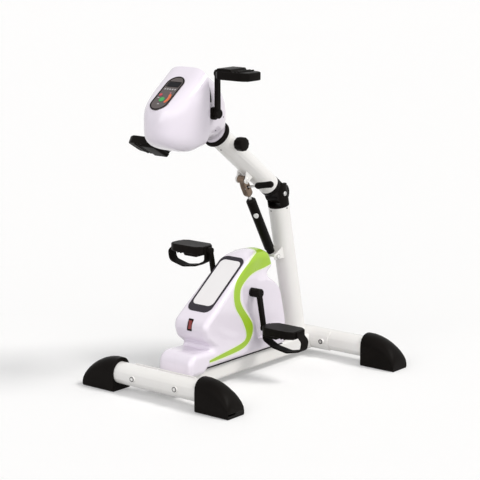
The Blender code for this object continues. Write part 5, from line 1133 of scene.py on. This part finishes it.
def stripe(side, outside):
    """S-shaped green band over a cover's flank and its horn, between two pale lines."""
    word = "right" if side > 0 else "left"
    front, back = (resampled([(y / TENTHS, z / TENTHS) for y, z in edge])
                   for edge in (STRIPE_FRONT, STRIPE_BACK))
    cap = [Vector(point) for point in STRIPE_CAP]
    printed_on(f"{word}_stripe", outside, side, front + back[::-1] + cap, "stripe_green")
    for edge, curve, way in (("front", front, -STRIPE_LINE), ("back", back, STRIPE_LINE)):
        outline = curve + beside(curve, way)[::-1]
        printed_on(f"{word}_stripe_{edge}_line", outside, side, outline, "stripe_edge")


# Camera, stage and lamps

def set_camera():
    camera = linked("product_camera", bpy.data.cameras.new("product_camera"))
    camera.data.lens = CAMERA_LENS
    camera.data.clip_end = CAMERA_FAR
    camera.location = CAMERA_PLACE
    look = Vector(CAMERA_TARGET) - Vector(CAMERA_PLACE)
    camera.rotation_euler = look.to_track_quat("-Z", "Y").to_euler()
    bpy.context.scene.camera = camera


def seen_directly(tree):
    """1 for what the camera, a mirror or clear glass shows, 0 for light that falls on the object."""
    path = add_node(tree, "ShaderNodeLightPath").outputs
    seen = calculated(tree, "MAXIMUM", path["Is Camera Ray"], path["Is Glossy Ray"])
    return calculated(tree, "MAXIMUM", seen, path["Is Transmission Ray"])


def set_stage():
    """Plain white floor that runs to a white sky, and keeps the object's shadow."""
    maker = bmesh.new()
    half = FLOOR_SIZE / 2
    maker.faces.new([maker.verts.new((x * half, y * half, FLOOR_LEVEL))
                     for x, y in ((-1, -1), (1, -1), (1, 1), (-1, 1))])
    floor = object_from("studio_floor", maker)
    material = bpy.data.materials.new("studio_floor")
    material.use_nodes = True
    tree = material.node_tree
    bounce, white = ((level, level, level, 1) for level in (FLOOR_BOUNCE, FLOOR_WHITE))
    wire(tree, tree.nodes["Principled BSDF"], [
        ("Base Color", mixed_colour(tree, seen_directly(tree), bounce, white)),
        ("Roughness", FLOOR_ROUGHNESS), ("Specular IOR Level", FLOOR_SHINE),
        ("Emission Color", (1, 1, 1, 1)), ("Emission Strength", FLOOR_GLOW)])
    floor.data.materials.append(material)


def set_sky():
    """Soft white light from all round, with a plain white background behind the object."""
    world = bpy.data.worlds.new("studio_sky")
    bpy.context.scene.world = world
    world.use_nodes = True
    tree = world.node_tree
    tree.nodes.clear()
    soft, white = (add_node(tree, "ShaderNodeBackground", [("Color", (1, 1, 1, 1)), ("Strength", strength)])
                   for strength in (SKY_STRENGTH, 1.0))
    mixed = add_node(tree, "ShaderNodeMixShader",
                     [(0, seen_directly(tree)), (1, soft.outputs[0]), (2, white.outputs[0])])
    add_node(tree, "ShaderNodeOutputWorld", [("Surface", mixed.outputs[0])])


def set_lamps():
    for name, (direction, strength, width, colour) in LAMPS.items():
        lamp = linked(name, bpy.data.lights.new(name, "SUN"))
        lamp.data.energy = strength
        lamp.data.angle = width
        lamp.data.color = colour
        lamp.rotation_euler = Vector(direction).to_track_quat("Z", "Y").to_euler()


for item in [o for o in bpy.data.objects if o.type in {"CAMERA", "LIGHT"} or o.name == "Cube"]:
    bpy.data.objects.remove(item)
set_camera()
set_stage()
set_sky()
set_lamps()
bpy.context.scene.view_settings.view_transform = "Standard"
finish_solids()
head_shells()
console_trim()
strut_cylinder()
strut_label()
crank_bosses()
head_shade_strips()
frame_fasteners()
strut_caps()
collar_lip()
thicken_straps()
cover_gap_shades()
for side in (-1, 1):
    outside = drive_cover(side)
    stripe(side, outside)
    outside.free()
